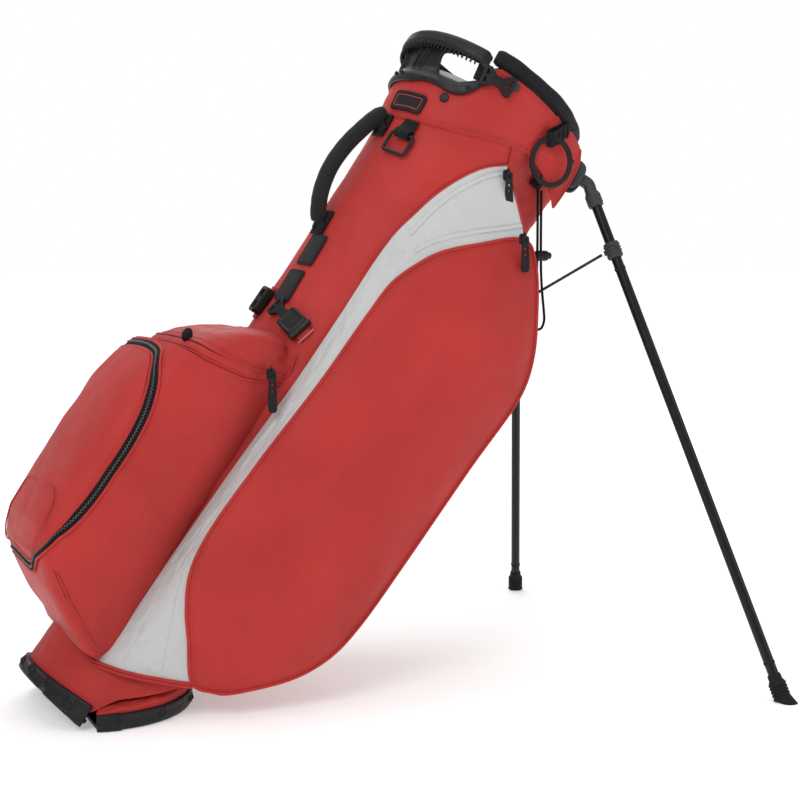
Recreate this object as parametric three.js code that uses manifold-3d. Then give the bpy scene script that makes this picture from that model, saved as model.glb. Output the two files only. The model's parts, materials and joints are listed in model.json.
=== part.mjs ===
// Golf stand bag, leaning on its two open legs. Millimetres, +Z up, +X towards the legs.
// Everything on the bag is laid out in the bag's own frame (f, y, h) and then leaned over:
//   f  forward, towards the legs     y  sideways     h  along the tube, from the base hinge plane
import * as THREE from 'three';
import { mergeVertices } from 'three/addons/utils/BufferGeometryUtils.js';
import Module from 'manifold-3d';

const wasm = await Module();
wasm.setup();

// ---------------------------------------------------------------- driving dimensions
const LEAN = THREE.MathUtils.degToRad(34.8);      // bag axis from the vertical
const AXIS_AHEAD = 33.45;                         // bag axis ahead of the base hinge line
const ORIGIN_AHEAD = 60;                          // row origin ahead of the base hinge line, on the ground
// outer surface of the fabric tube: height, half depth (f), half width (y), centre offset (f)
const TUBE = [
  [0, 104, 114, 6],
  [40, 103, 112, 6],
  [130, 95, 102, 3],
  [220, 90, 96, 0],
  [730, 90, 96, 0],
  [800, 96, 99, 3],
  [905, 118, 111, 9],
  [930, 120, 113, 10],
];
const WALL = 0.1;                                 // wall thickness as a share of the tube's half depth
const WALL_TOP = 785;
const BASE = { a: 106, b: 117, c: 6, wall: 32, floor: 5 };
const PLATE = { thick: 6, rim: 19 };
const GAP = 0.4;
const CUFF = { seamRear: 790, seamFront: 846, top: 893 };
const RIM = { low: 893.5, top: 914 };
const LEG = {
  pivot: [144, -92, 857],                         // where the leg's centreline starts
  foot: [595, -326, 437],
  pinBack: 22,                                    // hinge pin inside that point
  tube: 6.35,
  start: 30,
};
const CROSSHEAD = { f: 103, h: 554 };
const ROD_RADIUS = 3;

// ---------------------------------------------------------------- materials
const paint = (color, roughness, metalness = 0) =>
  new THREE.MeshStandardMaterial({ color, roughness, metalness });
const RED = paint(0xb4262c, 0.75);
const GREY = paint(0xc4c6c6, 0.7);
const LINING = paint(0xb9bdc0, 0.5);
const WEBBING = paint(0x17171a, 0.85);
const BLACK = paint(0x1c1c1e, 0.5);
const GRAPHITE = paint(0x3a3a3e, 0.45);
const RUBBER = paint(0x141415, 0.8);
const FOAM = paint(0x101012, 0.9);
const TUBE_PAINT = paint(0x0c0c0d, 0.3, 0.5);
const STEEL = paint(0x9a9a9c, 0.35, 0.9);

// ---------------------------------------------------------------- helpers
const bag = new THREE.Group();
bag.rotation.y = LEAN;
bag.position.set(
  AXIS_AHEAD * Math.cos(LEAN) - ORIGIN_AHEAD,
  0,
  -AXIS_AHEAD * Math.sin(LEAN),
);
const ground = new THREE.Group();
ground.position.x = -ORIGIN_AHEAD;
const model = new THREE.Group();
model.add(bag, ground);
bag.updateMatrixWorld(true);

function add(name, geometry, material, parent = bag) {
  const mesh = new THREE.Mesh(geometry, material);
  mesh.name = name;
  parent.add(mesh);
  return mesh;
}

function moveVertices(geometry, place) {
  const position = geometry.attributes.position;
  const v = new THREE.Vector3();
  for (let i = 0; i < position.count; i += 1) {
    v.fromBufferAttribute(position, i);
    place(v);
    position.setXYZ(i, v.x, v.y, v.z);
  }
  return geometry;
}

function toManifold(geometry) {
  const plain = geometry.clone();
  plain.deleteAttribute('normal');
  plain.deleteAttribute('uv');
  const merged = mergeVertices(plain, 1e-4);
  const vertProperties = new Float32Array(merged.attributes.position.array);
  const triVerts = new Uint32Array(merged.index.array);
  return new wasm.Manifold(new wasm.Mesh({ numProp: 3, vertProperties, triVerts }));
}

function fromManifold(solid) {
  const mesh = solid.getMesh();
  const geometry = new THREE.BufferGeometry();
  geometry.setAttribute('position', new THREE.BufferAttribute(mesh.vertProperties, 3));
  geometry.setIndex(new THREE.BufferAttribute(mesh.triVerts, 1));
  geometry.computeVertexNormals();
  return geometry;
}

function join(first, ...others) {
  return fromManifold(others.reduce((s, g) => s.add(toManifold(g)), toManifold(first)));
}

function cut(first, ...others) {
  return fromManifold(others.reduce((s, g) => s.subtract(toManifold(g)), toManifold(first)));
}

function prism(shape, depth, steps = 1, curveSegments = 4) {
  return new THREE.ExtrudeGeometry(shape, { depth, steps, curveSegments, bevelEnabled: false });
}

const smooth = (t) => t * t * (3 - 2 * t);

// value of a list of [h, value, ...] stations at height h
function station(rows, h, column) {
  if (h <= rows[0][0]) return rows[0][column];
  for (let i = 1; i < rows.length; i += 1) {
    if (h <= rows[i][0]) {
      const t = (h - rows[i - 1][0]) / (rows[i][0] - rows[i - 1][0]);
      return THREE.MathUtils.lerp(rows[i - 1][column], rows[i][column], t);
    }
  }
  return rows[rows.length - 1][column];
}

// point of the tube's surface: unit circle position (u, v) scaled to the section at height h
function onTube(v, h) {
  const f = station(TUBE, h, 3) + station(TUBE, h, 1) * v.x;
  const y = station(TUBE, h, 2) * v.y;
  v.set(f, y, h);
}

// the tube's point at an angle (0 is forward, 180 the spine), height and distance off the surface
function tubePoint(angle, h, off = 0) {
  const t = THREE.MathUtils.degToRad(angle);
  const a = station(TUBE, h, 1) + off;
  const b = station(TUBE, h, 2) + off;
  return new THREE.Vector3(station(TUBE, h, 3) + a * Math.cos(t), b * Math.sin(t), h);
}

function sideOfTube(f, h) {
  const u = (f - station(TUBE, h, 3)) / station(TUBE, h, 1);
  return station(TUBE, h, 2) * Math.sqrt(Math.max(0, 1 - u * u));
}

function spineOfTube(y, h) {
  const u = y / station(TUBE, h, 2);
  return station(TUBE, h, 3) - station(TUBE, h, 1) * Math.sqrt(Math.max(0, 1 - u * u));
}

// an arc of the unit tube between two angles and two radii
function arcShape(from, to, inner, outer) {
  const a = THREE.MathUtils.degToRad(from);
  const b = THREE.MathUtils.degToRad(to);
  const shape = new THREE.Shape();
  shape.absarc(0, 0, outer, a, b, false);
  shape.absarc(0, 0, inner, b, a, true);
  return shape;
}

// an arc band of the tube between heights that may depend on the unit position
function tubeBand(from, to, inner, outer, low, high, steps, segments) {
  const geometry = prism(arcShape(from, to, inner, outer), 1, steps, segments);
  return moveVertices(geometry, (v) => {
    const bottom = typeof low === 'function' ? low(v.x) : low;
    const top = typeof high === 'function' ? high(v.x) : high;
    onTube(v, THREE.MathUtils.lerp(bottom, top, v.z));
  });
}

function circle(radius) {
  const shape = new THREE.Shape();
  shape.absarc(0, 0, radius, 0, Math.PI * 2, false);
  return shape;
}

// round bar along a curve through points [x, y, z]
function bar(points, radius, sides = 8, steps = 1) {
  const vectors = points.map((p) => (p.isVector3 ? p : new THREE.Vector3(...p)));
  const path = vectors.length === 2
    ? new THREE.LineCurve3(vectors[0], vectors[1])
    : new THREE.CatmullRomCurve3(vectors, false, 'centripetal');
  const options = { extrudePath: path, steps, curveSegments: sides / 2, bevelEnabled: false };
  return new THREE.ExtrudeGeometry(circle(radius), options);
}

// closed round ring through points
function loop(points, radius, sides = 6, steps = 24) {
  const path = new THREE.CatmullRomCurve3(points, true, 'centripetal');
  const options = { extrudePath: path, steps, curveSegments: sides / 2, bevelEnabled: false };
  return new THREE.ExtrudeGeometry(circle(radius), options);
}

function box(x, y, z, at = [0, 0, 0]) {
  return new THREE.BoxGeometry(x, y, z).translate(...at);
}

// turns and moves a geometry so that its +Z looks along `normal` and its +X lies nearest `along`
function faceOut(geometry, at, normal, along) {
  const z = normal.clone().normalize();
  const x = along.clone().addScaledVector(z, -along.dot(z)).normalize();
  const y = new THREE.Vector3().crossVectors(z, x);
  const matrix = new THREE.Matrix4().makeBasis(x, y, z).setPosition(at);
  return geometry.applyMatrix4(matrix);
}

// a flat piece lying on the tube at an angle and height, its local y along the bag
function onSurface(geometry, angle, h, off) {
  const at = tubePoint(angle, h, off);
  const out = tubePoint(angle, h, off + 10).sub(at);
  return faceOut(geometry, at, out, new THREE.Vector3(0, 0, 1).cross(out));
}

const UP = new THREE.Vector3(0, 0, 1);
const worldToBag = bag.matrixWorld.clone().invert();
const DOWN_IN_BAG = new THREE.Vector3(0, 0, -1).transformDirection(worldToBag);
const mirrorY = (v) => new THREE.Vector3(v.x, -v.y, v.z);

// ---------------------------------------------------------------- base
// ellipse of the base from a straight rear or front cut
function baseOutline(from, to, scale) {
  const shape = new THREE.Shape();
  shape.absellipse(BASE.c, 0, BASE.a * scale, BASE.b * scale, from, to, false, 0);
  shape.closePath();
  return shape;
}

const HINGE_F = -AXIS_AHEAD;
const HINGE_CLEAR = 5;
const PIN = 3;
const HINGE_PIN = { radius: 2.2, up: 4 };           // hinge pin above the ground face

function cutAngle(scale, f) {
  return Math.acos((f - BASE.c) / (BASE.a * scale));
}

function lugSide() {
  const shape = new THREE.Shape();
  shape.moveTo(HINGE_F - 12, 0);
  shape.lineTo(HINGE_F - 0.5, 0.2);
  shape.lineTo(HINGE_F + 4.2, 3.4);
  shape.lineTo(HINGE_F + 4.2, 8);
  shape.lineTo(HINGE_F - 12, 8);
  shape.closePath();
  return shape;
}

// the boot's underside rises towards the back, from SLOPE_FROM on
const SLOPE_FROM = HINGE_F - 12;
const SLOPE = 0.22;

function slopedDish(shape, low) {
  return moveVertices(prism(shape, 1, 1, 10), (v) => {
    const bottom = low + Math.max(0, SLOPE_FROM - v.x) * SLOPE;
    v.z = THREE.MathUtils.lerp(bottom, BASE.wall + low, v.z);
  });
}

function baseBoot() {
  const edge = HINGE_F - HINGE_CLEAR - 4;
  const outer = cutAngle(1, edge);
  const inner = cutAngle(0.955, edge + 3);
  const shell = slopedDish(baseOutline(outer, 2 * Math.PI - outer, 1), 0);
  const hollow = slopedDish(baseOutline(inner, 2 * Math.PI - inner, 0.955), BASE.floor);
  const lugs = [-70, 0, 70].map((y) => prism(lugSide(), 16).rotateX(Math.PI / 2).translate(0, y + 8, 0));
  const f = HINGE_F - HINGE_PIN.up * Math.sin(LEAN);
  const h = HINGE_PIN.up * Math.cos(LEAN);
  const bore = bar([[f, -90, h], [f, 90, h]], HINGE_PIN.radius + 0.35, 12);
  const body = join(cut(shell, hollow), ...lugs);
  return cut(body, bore);
}
add('base_boot', baseBoot(), BLACK);

// the front plate lies flat on the ground: its own x runs forward from the hinge line
function basePlate() {
  const shift = AXIS_AHEAD + BASE.c;
  const outline = (scale, x) => {
    const angle = Math.acos((x - shift) / (BASE.a * scale));
    const shape = new THREE.Shape();
    shape.absellipse(shift, 0, BASE.a * scale, BASE.b * scale, -angle, angle, false, 0);
    shape.closePath();
    return shape;
  };
  const shell = prism(outline(1, HINGE_CLEAR + 5), PLATE.rim, 1, 12);
  const hollow = prism(outline(0.955, HINGE_CLEAR), PLATE.rim, 1, 12);
  hollow.translate(0, 0, PLATE.thick);
  const lugs = [-35, 35].map((y) => box(16, 16, 7, [4.8, y, 3.5]));
  const bore = bar([[0, -90, HINGE_PIN.up], [0, 90, HINGE_PIN.up]], HINGE_PIN.radius + 0.35, 12);
  return cut(join(cut(shell, hollow), ...lugs), bore);
}
add('base_plate', basePlate(), BLACK, ground);
const hingePin = bar([[0, -79, HINGE_PIN.up], [0, 79, HINGE_PIN.up]], HINGE_PIN.radius, 12);
add('base_hinge_pin', hingePin, STEEL, ground);

// ---------------------------------------------------------------- fabric tube
// the tube's lower edge rises towards the front, where the base plate folds up under it
function lowerEdge(u) {
  const f = 6 + 100 * u;
  return 34 + Math.max(0, f + 38) * 0.76;
}
const WALLS = [
  ['wall_front', -54.5, 54.5, 4],
  ['wall_left', 55.5, 124.5, 3],
  ['wall_spine', 125.5, 234.5, 4],
  ['wall_right', 235.5, 304.5, 3],
];
for (const [name, from, to, segments] of WALLS) {
  add(name, tubeBand(from, to, 1 - WALL, 1, lowerEdge, WALL_TOP, 9, segments), RED);
}
// stiffening rods behind the spine wall
const STAY_INSIDE = 14.5;
for (const [name, angle] of [['stay_left', 150], ['stay_right', 210]]) {
  const [low, middle, high] = [60, 220, 780].map((h) => tubePoint(angle, h, -STAY_INSIDE));
  add(name, bar([low, middle, high], 2.5, 6, 6), STEEL);
}

// ---------------------------------------------------------------- cuff
const seam = (u) => THREE.MathUtils.lerp(CUFF.seamRear, CUFF.seamFront, smooth((u + 1) / 2));

function ringBand(inner, outer, low, high, steps, segments) {
  const shape = circle(outer);
  const hole = new THREE.Path();
  hole.absarc(0, 0, inner, 0, Math.PI * 2, true);
  shape.holes.push(hole);
  const geometry = prism(shape, 1, steps, segments);
  return moveVertices(geometry, (v) => {
    const bottom = typeof low === 'function' ? low(v.x) : low;
    const top = typeof high === 'function' ? high(v.x) : high;
    onTube(v, THREE.MathUtils.lerp(bottom, top, v.z));
  });
}
// the cuff is cut down at the spine, under the handle's windows
const cuffTop = (u) => {
  const rise = smooth(THREE.MathUtils.clamp((u + 0.56) / 0.2, 0, 1));
  return THREE.MathUtils.lerp(860, CUFF.top, rise);
};
add('cuff_frame', ringBand(0.953, 0.99, 787, (u) => cuffTop(u) - 5, 3, 15), GRAPHITE);
add('cuff_cover', ringBand(1.0, 1.03, seam, cuffTop, 3, 15), RED);
add('cuff_lining', ringBand(0.905, 0.933, 789, 884, 1, 15), LINING);
add('rim_pad', tubeBand(-119, 119, 0.93, 1.06, RIM.low, RIM.top, 1, 13), WEBBING);

// four-way divider: one bar across and one along, inside the cuff frame
function divider() {
  const across = box(12, 196, 54, [-12, 0, 862]);
  const along = box(206, 12, 54, [9, 0, 862]);
  const inside = ringBand(0.001, 0.895, 800, 888.5, 1, 12);
  const cross = join(across, along);
  return fromManifold(toManifold(cross).intersect(toManifold(inside)));
}
add('divider', divider(), WEBBING);

// moulded grab handle round the back of the mouth, with a finger window each side of its stem
function rearHandle() {
  const grip = tubeBand(122, 238, 0.985, 1.085, 885, 903, 1, 8);
  const stem = tubeBand(174, 186, 1.043, 1.08, 848, 890, 1, 1);
  const footRight = tubeBand(231, 237, 1.043, 1.08, 857, 890, 1, 1);
  const footLeft = tubeBand(123, 129, 1.043, 1.08, 857, 890, 1, 1);
  const sill = tubeBand(122, 238, 1.041, 1.068, 846, 861, 1, 8);
  return join(grip, stem, footRight, footLeft, sill);
}
add('rear_handle', rearHandle(), BLACK);

function plate(w, h, d, r) {
  const shape = new THREE.Shape();
  const x = w / 2 - r;
  const y = h / 2 - r;
  shape.absarc(x, y, r, 0, Math.PI / 2, false);
  shape.absarc(-x, y, r, Math.PI / 2, Math.PI, false);
  shape.absarc(-x, -y, r, Math.PI, Math.PI * 1.5, false);
  shape.absarc(x, -y, r, Math.PI * 1.5, Math.PI * 2, false);
  return prism(shape, d, 1, 2);
}
add('badge_plate', onSurface(plate(50, 24, 2.5, 3), 202, 811, 4.7), BLACK);

add('snap_rear', onSurface(prism(circle(5), 2.5, 1, 6), 228, 832, 4.4), STEEL);
add('hood_buckle', onSurface(plate(24, 34, 9, 3), 251, 868, 5.6), BLACK);

// ---------------------------------------------------------------- rings on webbing
add('strap_ring_tab', onSurface(plate(22, 16, 3, 1), 214, 781, 4.0), WEBBING);

function ringRectangle(width, height, radius, at, normal, down) {
  const x = new THREE.Vector3().crossVectors(down, normal).normalize();
  const corner = (i, j) =>
    at.clone().addScaledVector(x, (i * width) / 2).addScaledVector(down, (j * height) / 2);
  const points = [
    corner(-1, -1), corner(0, -1), corner(1, -1), corner(1, 0),
    corner(1, 1), corner(0, 1), corner(-1, 1), corner(-1, 0),
  ];
  return loop(points, radius, 6, 20);
}
const strapOut = tubePoint(214, 770, 10).sub(tubePoint(214, 770, 0)).normalize();
const strapDown = new THREE.Vector3(0, 0, -1);
const strapRingAt = tubePoint(214, 757, 6.5);
add('strap_ring', ringRectangle(30, 24, 2.2, strapRingAt, strapOut, strapDown), BLACK);

// towel ring: hangs straight down from a folded web on the side of the cuff
add('towel_ring_tab', onSurface(plate(22, 20, 4, 1), 302, 880, 5.4), WEBBING);

// the ring's half width and half height, and the radius of its wire
const TOWEL_RING = { wide: 23, high: 28, wire: 2.8 };

function towelRing() {
  const top = tubePoint(297, 866, 14);
  const down = DOWN_IN_BAG;
  const side = new THREE.Vector3(0.96, -0.27, 0);
  side.addScaledVector(down, -side.dot(down)).normalize();
  const centre = top.clone().addScaledVector(down, TOWEL_RING.high);
  const points = [];
  for (let i = 0; i < 12; i += 1) {
    const t = (i / 12) * Math.PI * 2;
    const at = centre.clone().addScaledVector(side, TOWEL_RING.wide * Math.cos(t));
    points.push(at.addScaledVector(down, TOWEL_RING.high * Math.sin(t)));
  }
  return loop(points, TOWEL_RING.wire, 6, 22);
}
add('towel_ring', towelRing(), BLACK);

// ---------------------------------------------------------------- leg bracket and legs
const pivot = new THREE.Vector3(...LEG.pivot);
const foot = new THREE.Vector3(...LEG.foot);
const legLine = foot.clone().sub(pivot).normalize();
const swing = new THREE.Vector3(legLine.x, legLine.y, 0).normalize();
const pinAt = pivot.clone().addScaledVector(swing, -LEG.pinBack);
const pinAxis = new THREE.Vector3().crossVectors(swing, UP).normalize();
const onLeg = (s) => pivot.clone().addScaledVector(legLine, s);
const sides = [
  ['right', (v) => v],
  ['left', mirrorY],
];

// a plate lying in the leg's swing plane, t thick, centred `across` along the pin axis
function swingPlate(outline, t, across, side) {
  const geometry = moveVertices(prism(outline, t, 1, 3), (v) => {
    const at = pinAt.clone().addScaledVector(swing, v.x).addScaledVector(UP, v.y);
    at.addScaledVector(pinAxis, across - t / 2 + v.z);
    v.copy(side(at));
  });
  return outward(geometry);
}

// flips the faces of a geometry that a mirror has turned inside out
function outward(geometry) {
  const solid = geometry.index ? geometry.toNonIndexed() : geometry.clone();
  const p = solid.attributes.position;
  const [a, b, c] = [new THREE.Vector3(), new THREE.Vector3(), new THREE.Vector3()];
  let volume = 0;
  for (let i = 0; i < p.count; i += 3) {
    a.fromBufferAttribute(p, i);
    b.fromBufferAttribute(p, i + 1);
    c.fromBufferAttribute(p, i + 2);
    volume += a.dot(b.cross(c));
  }
  if (volume > 0) return solid;
  for (let i = 0; i < p.count; i += 3) {
    b.fromBufferAttribute(p, i + 1);
    c.fromBufferAttribute(p, i + 2);
    p.setXYZ(i + 1, c.x, c.y, c.z);
    p.setXYZ(i + 2, b.x, b.y, b.z);
  }
  return solid;
}

const EAR = { back: -44, front: 12, low: -19, high: 17, thick: 4, at: 11 };

function legBracket() {
  const band = tubeBand(-44, 44, 1.034, 1.1, 836, 880, 1, 5);
  const outline = new THREE.Shape();
  outline.moveTo(EAR.back, EAR.low);
  outline.lineTo(0, EAR.low);
  outline.quadraticCurveTo(EAR.front, EAR.low, EAR.front, 0);
  outline.quadraticCurveTo(EAR.front, EAR.high, 0, EAR.high);
  outline.lineTo(EAR.back, EAR.high);
  outline.closePath();
  const ears = sides.flatMap(([, side]) =>
    [-EAR.at, EAR.at].map((across) => swingPlate(outline, EAR.thick, across, side)));
  const bores = sides.map(([, side]) => pinBar(16, 3.4, side));
  const keepOut = ringBand(0.001, 1.034, 800, 900, 1, 15);
  return cut(join(band, ...ears), keepOut, ...bores);
}

function pinBar(half, radius, side) {
  const ends = [-half, half].map((across) => pinAt.clone().addScaledVector(pinAxis, across));
  return bar(ends.map(side), radius, 12);
}
add('leg_bracket', legBracket(), GRAPHITE);

const HUB = { radius: 9, half: 8.4 };
const SLEEVE = { from: 14, to: LEG.start, radius: 9.2 };
const COLLAR = { from: 78, to: 98, radius: 10 };
const FOOT = { from: 628, to: 678, radius: 11 };
const FOLDED_LUG = 13;

const collarMiddle = onLeg((COLLAR.from + COLLAR.to) / 2);
const crosshead = new THREE.Vector3(CROSSHEAD.f, 0, CROSSHEAD.h);
const lugWay = crosshead.clone().sub(collarMiddle);
lugWay.addScaledVector(legLine, -lugWay.dot(legLine)).normalize();
const lugAt = collarMiddle.clone().addScaledVector(lugWay, FOLDED_LUG);

function knuckle(side) {
  const hub = cut(pinBar(HUB.half, HUB.radius, side), pinBar(HUB.half + 2, PIN + 0.3, side));
  const arm = bar([
    pinAt.clone().addScaledVector(swing, 6.5),
    pinAt.clone().addScaledVector(swing, 14).addScaledVector(UP, 1),
    onLeg(2),
    onLeg(SLEEVE.from + 3),
  ].map(side), 6.8, 10, 6);
  const sleeve = bar([onLeg(SLEEVE.from), onLeg(SLEEVE.to)].map(side), SLEEVE.radius, 14);
  return join(hub, arm, sleeve);
}

function legCollar(side) {
  const body = bar([onLeg(COLLAR.from), onLeg(COLLAR.to)].map(side), COLLAR.radius, 14);
  const lug = bar([
    collarMiddle.clone().addScaledVector(lugWay, 7.5),
    collarMiddle.clone().addScaledVector(lugWay, FOLDED_LUG - 3.2),
  ].map(side), 3.5, 8);
  const bore = bar([onLeg(COLLAR.from - 2), onLeg(COLLAR.to + 2)].map(side), LEG.tube + 0.25, 16);
  return cut(join(body, lug), bore);
}

const LEG_FOOT_X = foot.clone().applyMatrix4(bag.matrixWorld).x;

// rubber cap of the leg, cut off flat at the ground
function footCap(side) {
  const cap = bar([onLeg(FOOT.from), onLeg(FOOT.to)].map(side), FOOT.radius, 14);
  cap.applyMatrix4(bag.matrixWorld);
  const below = box(200, 900, 100, [LEG_FOOT_X, 0, -50]);
  return cut(cap, below);
}

for (const [which, side] of sides) {
  add(`leg_${which}_pin`, pinBar(15, PIN, side), STEEL);
  add(`leg_${which}_knuckle`, knuckle(side), GRAPHITE);
  const ends = [onLeg(LEG.start + GAP), onLeg(FOOT.from - GAP)];
  add(`leg_${which}_tube`, bar(ends.map(side), LEG.tube, 14), TUBE_PAINT);
  add(`leg_${which}_collar`, legCollar(side), GRAPHITE);
  add(`leg_${which}_foot`, footCap(side), RUBBER, model);
}

// ---------------------------------------------------------------- push rod and spreader wires
const ROD_LOW = 120;
add('push_rod', bar([[CROSSHEAD.f, 0, ROD_LOW], [CROSSHEAD.f, 0, CROSSHEAD.h - 9]], ROD_RADIUS, 8), STEEL);
add('crosshead', box(10, 20, 17, [CROSSHEAD.f, 0, CROSSHEAD.h]), GRAPHITE);
for (const [name, h] of [['rod_guide_lower', 300], ['rod_guide_upper', 440]]) {
  const block = box(CROSSHEAD.f - 85, 18, 12, [(CROSSHEAD.f + 7 + 92) / 2, 0, h]);
  const bore = bar([[CROSSHEAD.f, 0, h - 10], [CROSSHEAD.f, 0, h + 10]], ROD_RADIUS + 0.4, 12);
  add(name, cut(block, bore), BLACK);
}
for (const [which, side] of sides) {
  const start = crosshead.clone().add(new THREE.Vector3(0, -12, 0));
  const end = lugAt.clone().lerp(start, 0.006);
  add(`spreader_wire_${which}`, bar([start, end].map(side), 1.8, 8), STEEL);
}

// ---------------------------------------------------------------- side pockets
// side view of the pocket: height, rear edge, front edge, width of the outer edge, bulge
const SIDE_POCKET = [
  [97, 38, 46, 112, 4],
  [112, 22, 72, 114, 10],
  [135, 7, 104, 118, 16],
  [165, -15, 135, 121, 22],
  [205, -36, 158, 124, 28],
  [250, -42, 168, 125, 32],
  [340, -39, 176, 126, 34],
  [460, -28, 183, 126, 34],
  [560, -22, 189, 125, 32],
  [605, -17, 185, 124, 28],
  [645, 2, 172, 123, 22],
  [685, 33, 149, 121, 14],
  [715, 66, 125, 119, 8],
  [742, 96, 104, 116, 3],
];
const WING_FROM = 62;
const SPLAY = 9;                                  // the front edge stands this much wider than the rear
const WING_THICK = 6;
const POCKET_GAP = 19;                            // the pocket's inner face from the tube

// how far out along the wing a point lies, 0 at its root to 1 at the front edge
function wingShare(f, front) {
  return THREE.MathUtils.clamp((f - WING_FROM) / Math.max(1, front - WING_FROM), 0, 1);
}

// inner face of the pocket: along the tube, then straight out to the front edge
function pocketInner(f, h, front, edge) {
  const near = sideOfTube(Math.min(f, WING_FROM), h) + POCKET_GAP;
  return THREE.MathUtils.lerp(near, edge + SPLAY - WING_THICK, wingShare(f, front));
}

function sidePocket(direction) {
  const geometry = new THREE.BoxGeometry(1, 1, 1, 7, 1, 15);
  moveVertices(geometry, (v) => {
    const first = SIDE_POCKET[0][0];
    const last = SIDE_POCKET[SIDE_POCKET.length - 1][0];
    const h = THREE.MathUtils.lerp(first, last, v.z + 0.5);
    const [rear, front, edge, bulge] = [1, 2, 3, 4].map((i) => station(SIDE_POCKET, h, i));
    const u = v.x + 0.5;
    const f = THREE.MathUtils.lerp(rear, front, u);
    const inner = pocketInner(f, h, front, edge);
    const outer = edge + SPLAY * wingShare(f, front) + bulge * Math.sin(Math.PI * u) ** 0.6;
    v.set(f, direction * THREE.MathUtils.lerp(inner, outer, v.y + 0.5), h);
  });
  return outward(geometry);
}
add('side_pocket_right', sidePocket(-1), RED);
add('side_pocket_left', sidePocket(1), RED);

// grey panel lying on the tube: height, rear edge, front edge
const SIDE_PANEL = [
  [66, -54, -44],
  [82, -52, 12],
  [120, -52, 30],
  [190, -50, 30],
  [340, -45, 30],
  [500, -38, 30],
  [640, -36, 40],
  [700, -30, 50],
  [742, -8, 56],
  [750, -5, 70],
  [805, 30, 66],
  [822, 50, 58],
];

function sidePanel(direction) {
  const geometry = new THREE.BoxGeometry(1, 1, 1, 4, 1, 18);
  moveVertices(geometry, (v) => {
    const h = THREE.MathUtils.lerp(SIDE_PANEL[0][0], SIDE_PANEL[SIDE_PANEL.length - 1][0], v.z + 0.5);
    const rear = station(SIDE_PANEL, h, 1);
    const front = station(SIDE_PANEL, h, 2);
    const f = THREE.MathUtils.lerp(rear, front, v.x + 0.5);
    const fullness = smooth(THREE.MathUtils.clamp((730 - h) / 60, 0, 1));
    const thick = THREE.MathUtils.lerp(5.2, 9.4, fullness);
    const off = 8.4 + v.y * thick + Math.max(0, 150 - h) * 0.07;
    const u = (f - station(TUBE, h, 3)) / (station(TUBE, h, 1) + off);
    const y = (station(TUBE, h, 2) + off) * Math.sqrt(Math.max(0.01, 1 - u * u));
    v.set(f, direction * y, h);
  });
  return outward(geometry);
}
add('side_panel_right', sidePanel(-1), GREY);
add('side_panel_left', sidePanel(1), GREY);

// ---------------------------------------------------------------- spine pockets
// side view of a spine pocket: height, outer face, half width
const BALL_POCKET = [
  [80, -92, 100],
  [90, -122, 106],
  [112, -158, 109],
  [135, -184, 110],
  [165, -193, 110],
  [340, -195, 110],
  [385, -188, 108],
  [402, -176, 106],
];
const COOLER_POCKET = [
  [403.5, -176, 105],
  [418, -168, 104],
  [440, -148, 100],
  [462, -122, 92],
  [480, -100, 82],
];

function spinePocket(rows) {
  const geometry = new THREE.BoxGeometry(1, 1, 1, 1, 8, 9);
  return moveVertices(geometry, (v) => {
    const h = THREE.MathUtils.lerp(rows[0][0], rows[rows.length - 1][0], v.z + 0.5);
    const face = station(rows, h, 1);
    const y = v.y * 2 * station(rows, h, 2);
    const inner = Math.min(-58, spineOfTube(THREE.MathUtils.clamp(y, -90, 90), h)) - 3;
    const crown = 14 * Math.abs(v.y * 2) ** 5;
    v.set(THREE.MathUtils.lerp(face + crown, inner, v.x + 0.5), y, h);
  });
}
add('ball_pocket', spinePocket(BALL_POCKET), RED);
add('cooler_pocket', spinePocket(COOLER_POCKET), RED);

// zip band standing round the ball pocket's door
function zipBand() {
  const corner = [
    [-186, 380], [-178, 376], [-172, 352], [-166, 306], [-167, 252],
    [-170, 208], [-171, 168], [-178, 146], [-190, 134],
  ];
  const points = corner.map(([f, h]) => [f, -112.6, h]);
  return bar(points, 2.2, 6, 14);
}
add('ball_zip_right', zipBand(), WEBBING);

// ---------------------------------------------------------------- carry handle, patches, buckles
add('carry_handle', bar([
  [-106, -12, 780], [-113, -12, 757], [-119, -12, 728], [-120, -12, 695], [-113, -12, 664], [-104, -12, 646],
], 9, 8, 10), FOAM);
add('handle_anchor_upper', onSurface(plate(22, 26, 5, 2), 187, 777, 0.6), WEBBING);
add('handle_anchor_lower', onSurface(plate(22, 30, 5, 2), 187, 636, 0.6), WEBBING);
add('strap_patch_upper', onSurface(plate(28, 44, 2, 2), 193, 597, 0.8), WEBBING);
add('strap_patch_lower', onSurface(plate(28, 44, 2, 2), 193, 547, 0.8), WEBBING);
add('strap_buckle_side', onSurface(plate(52, 24, 11, 4), 216, 510, 1.2), BLACK);
add('strap_buckle_spine', onSurface(plate(22, 34, 12, 4), 176, 520, 1.2), BLACK);

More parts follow.
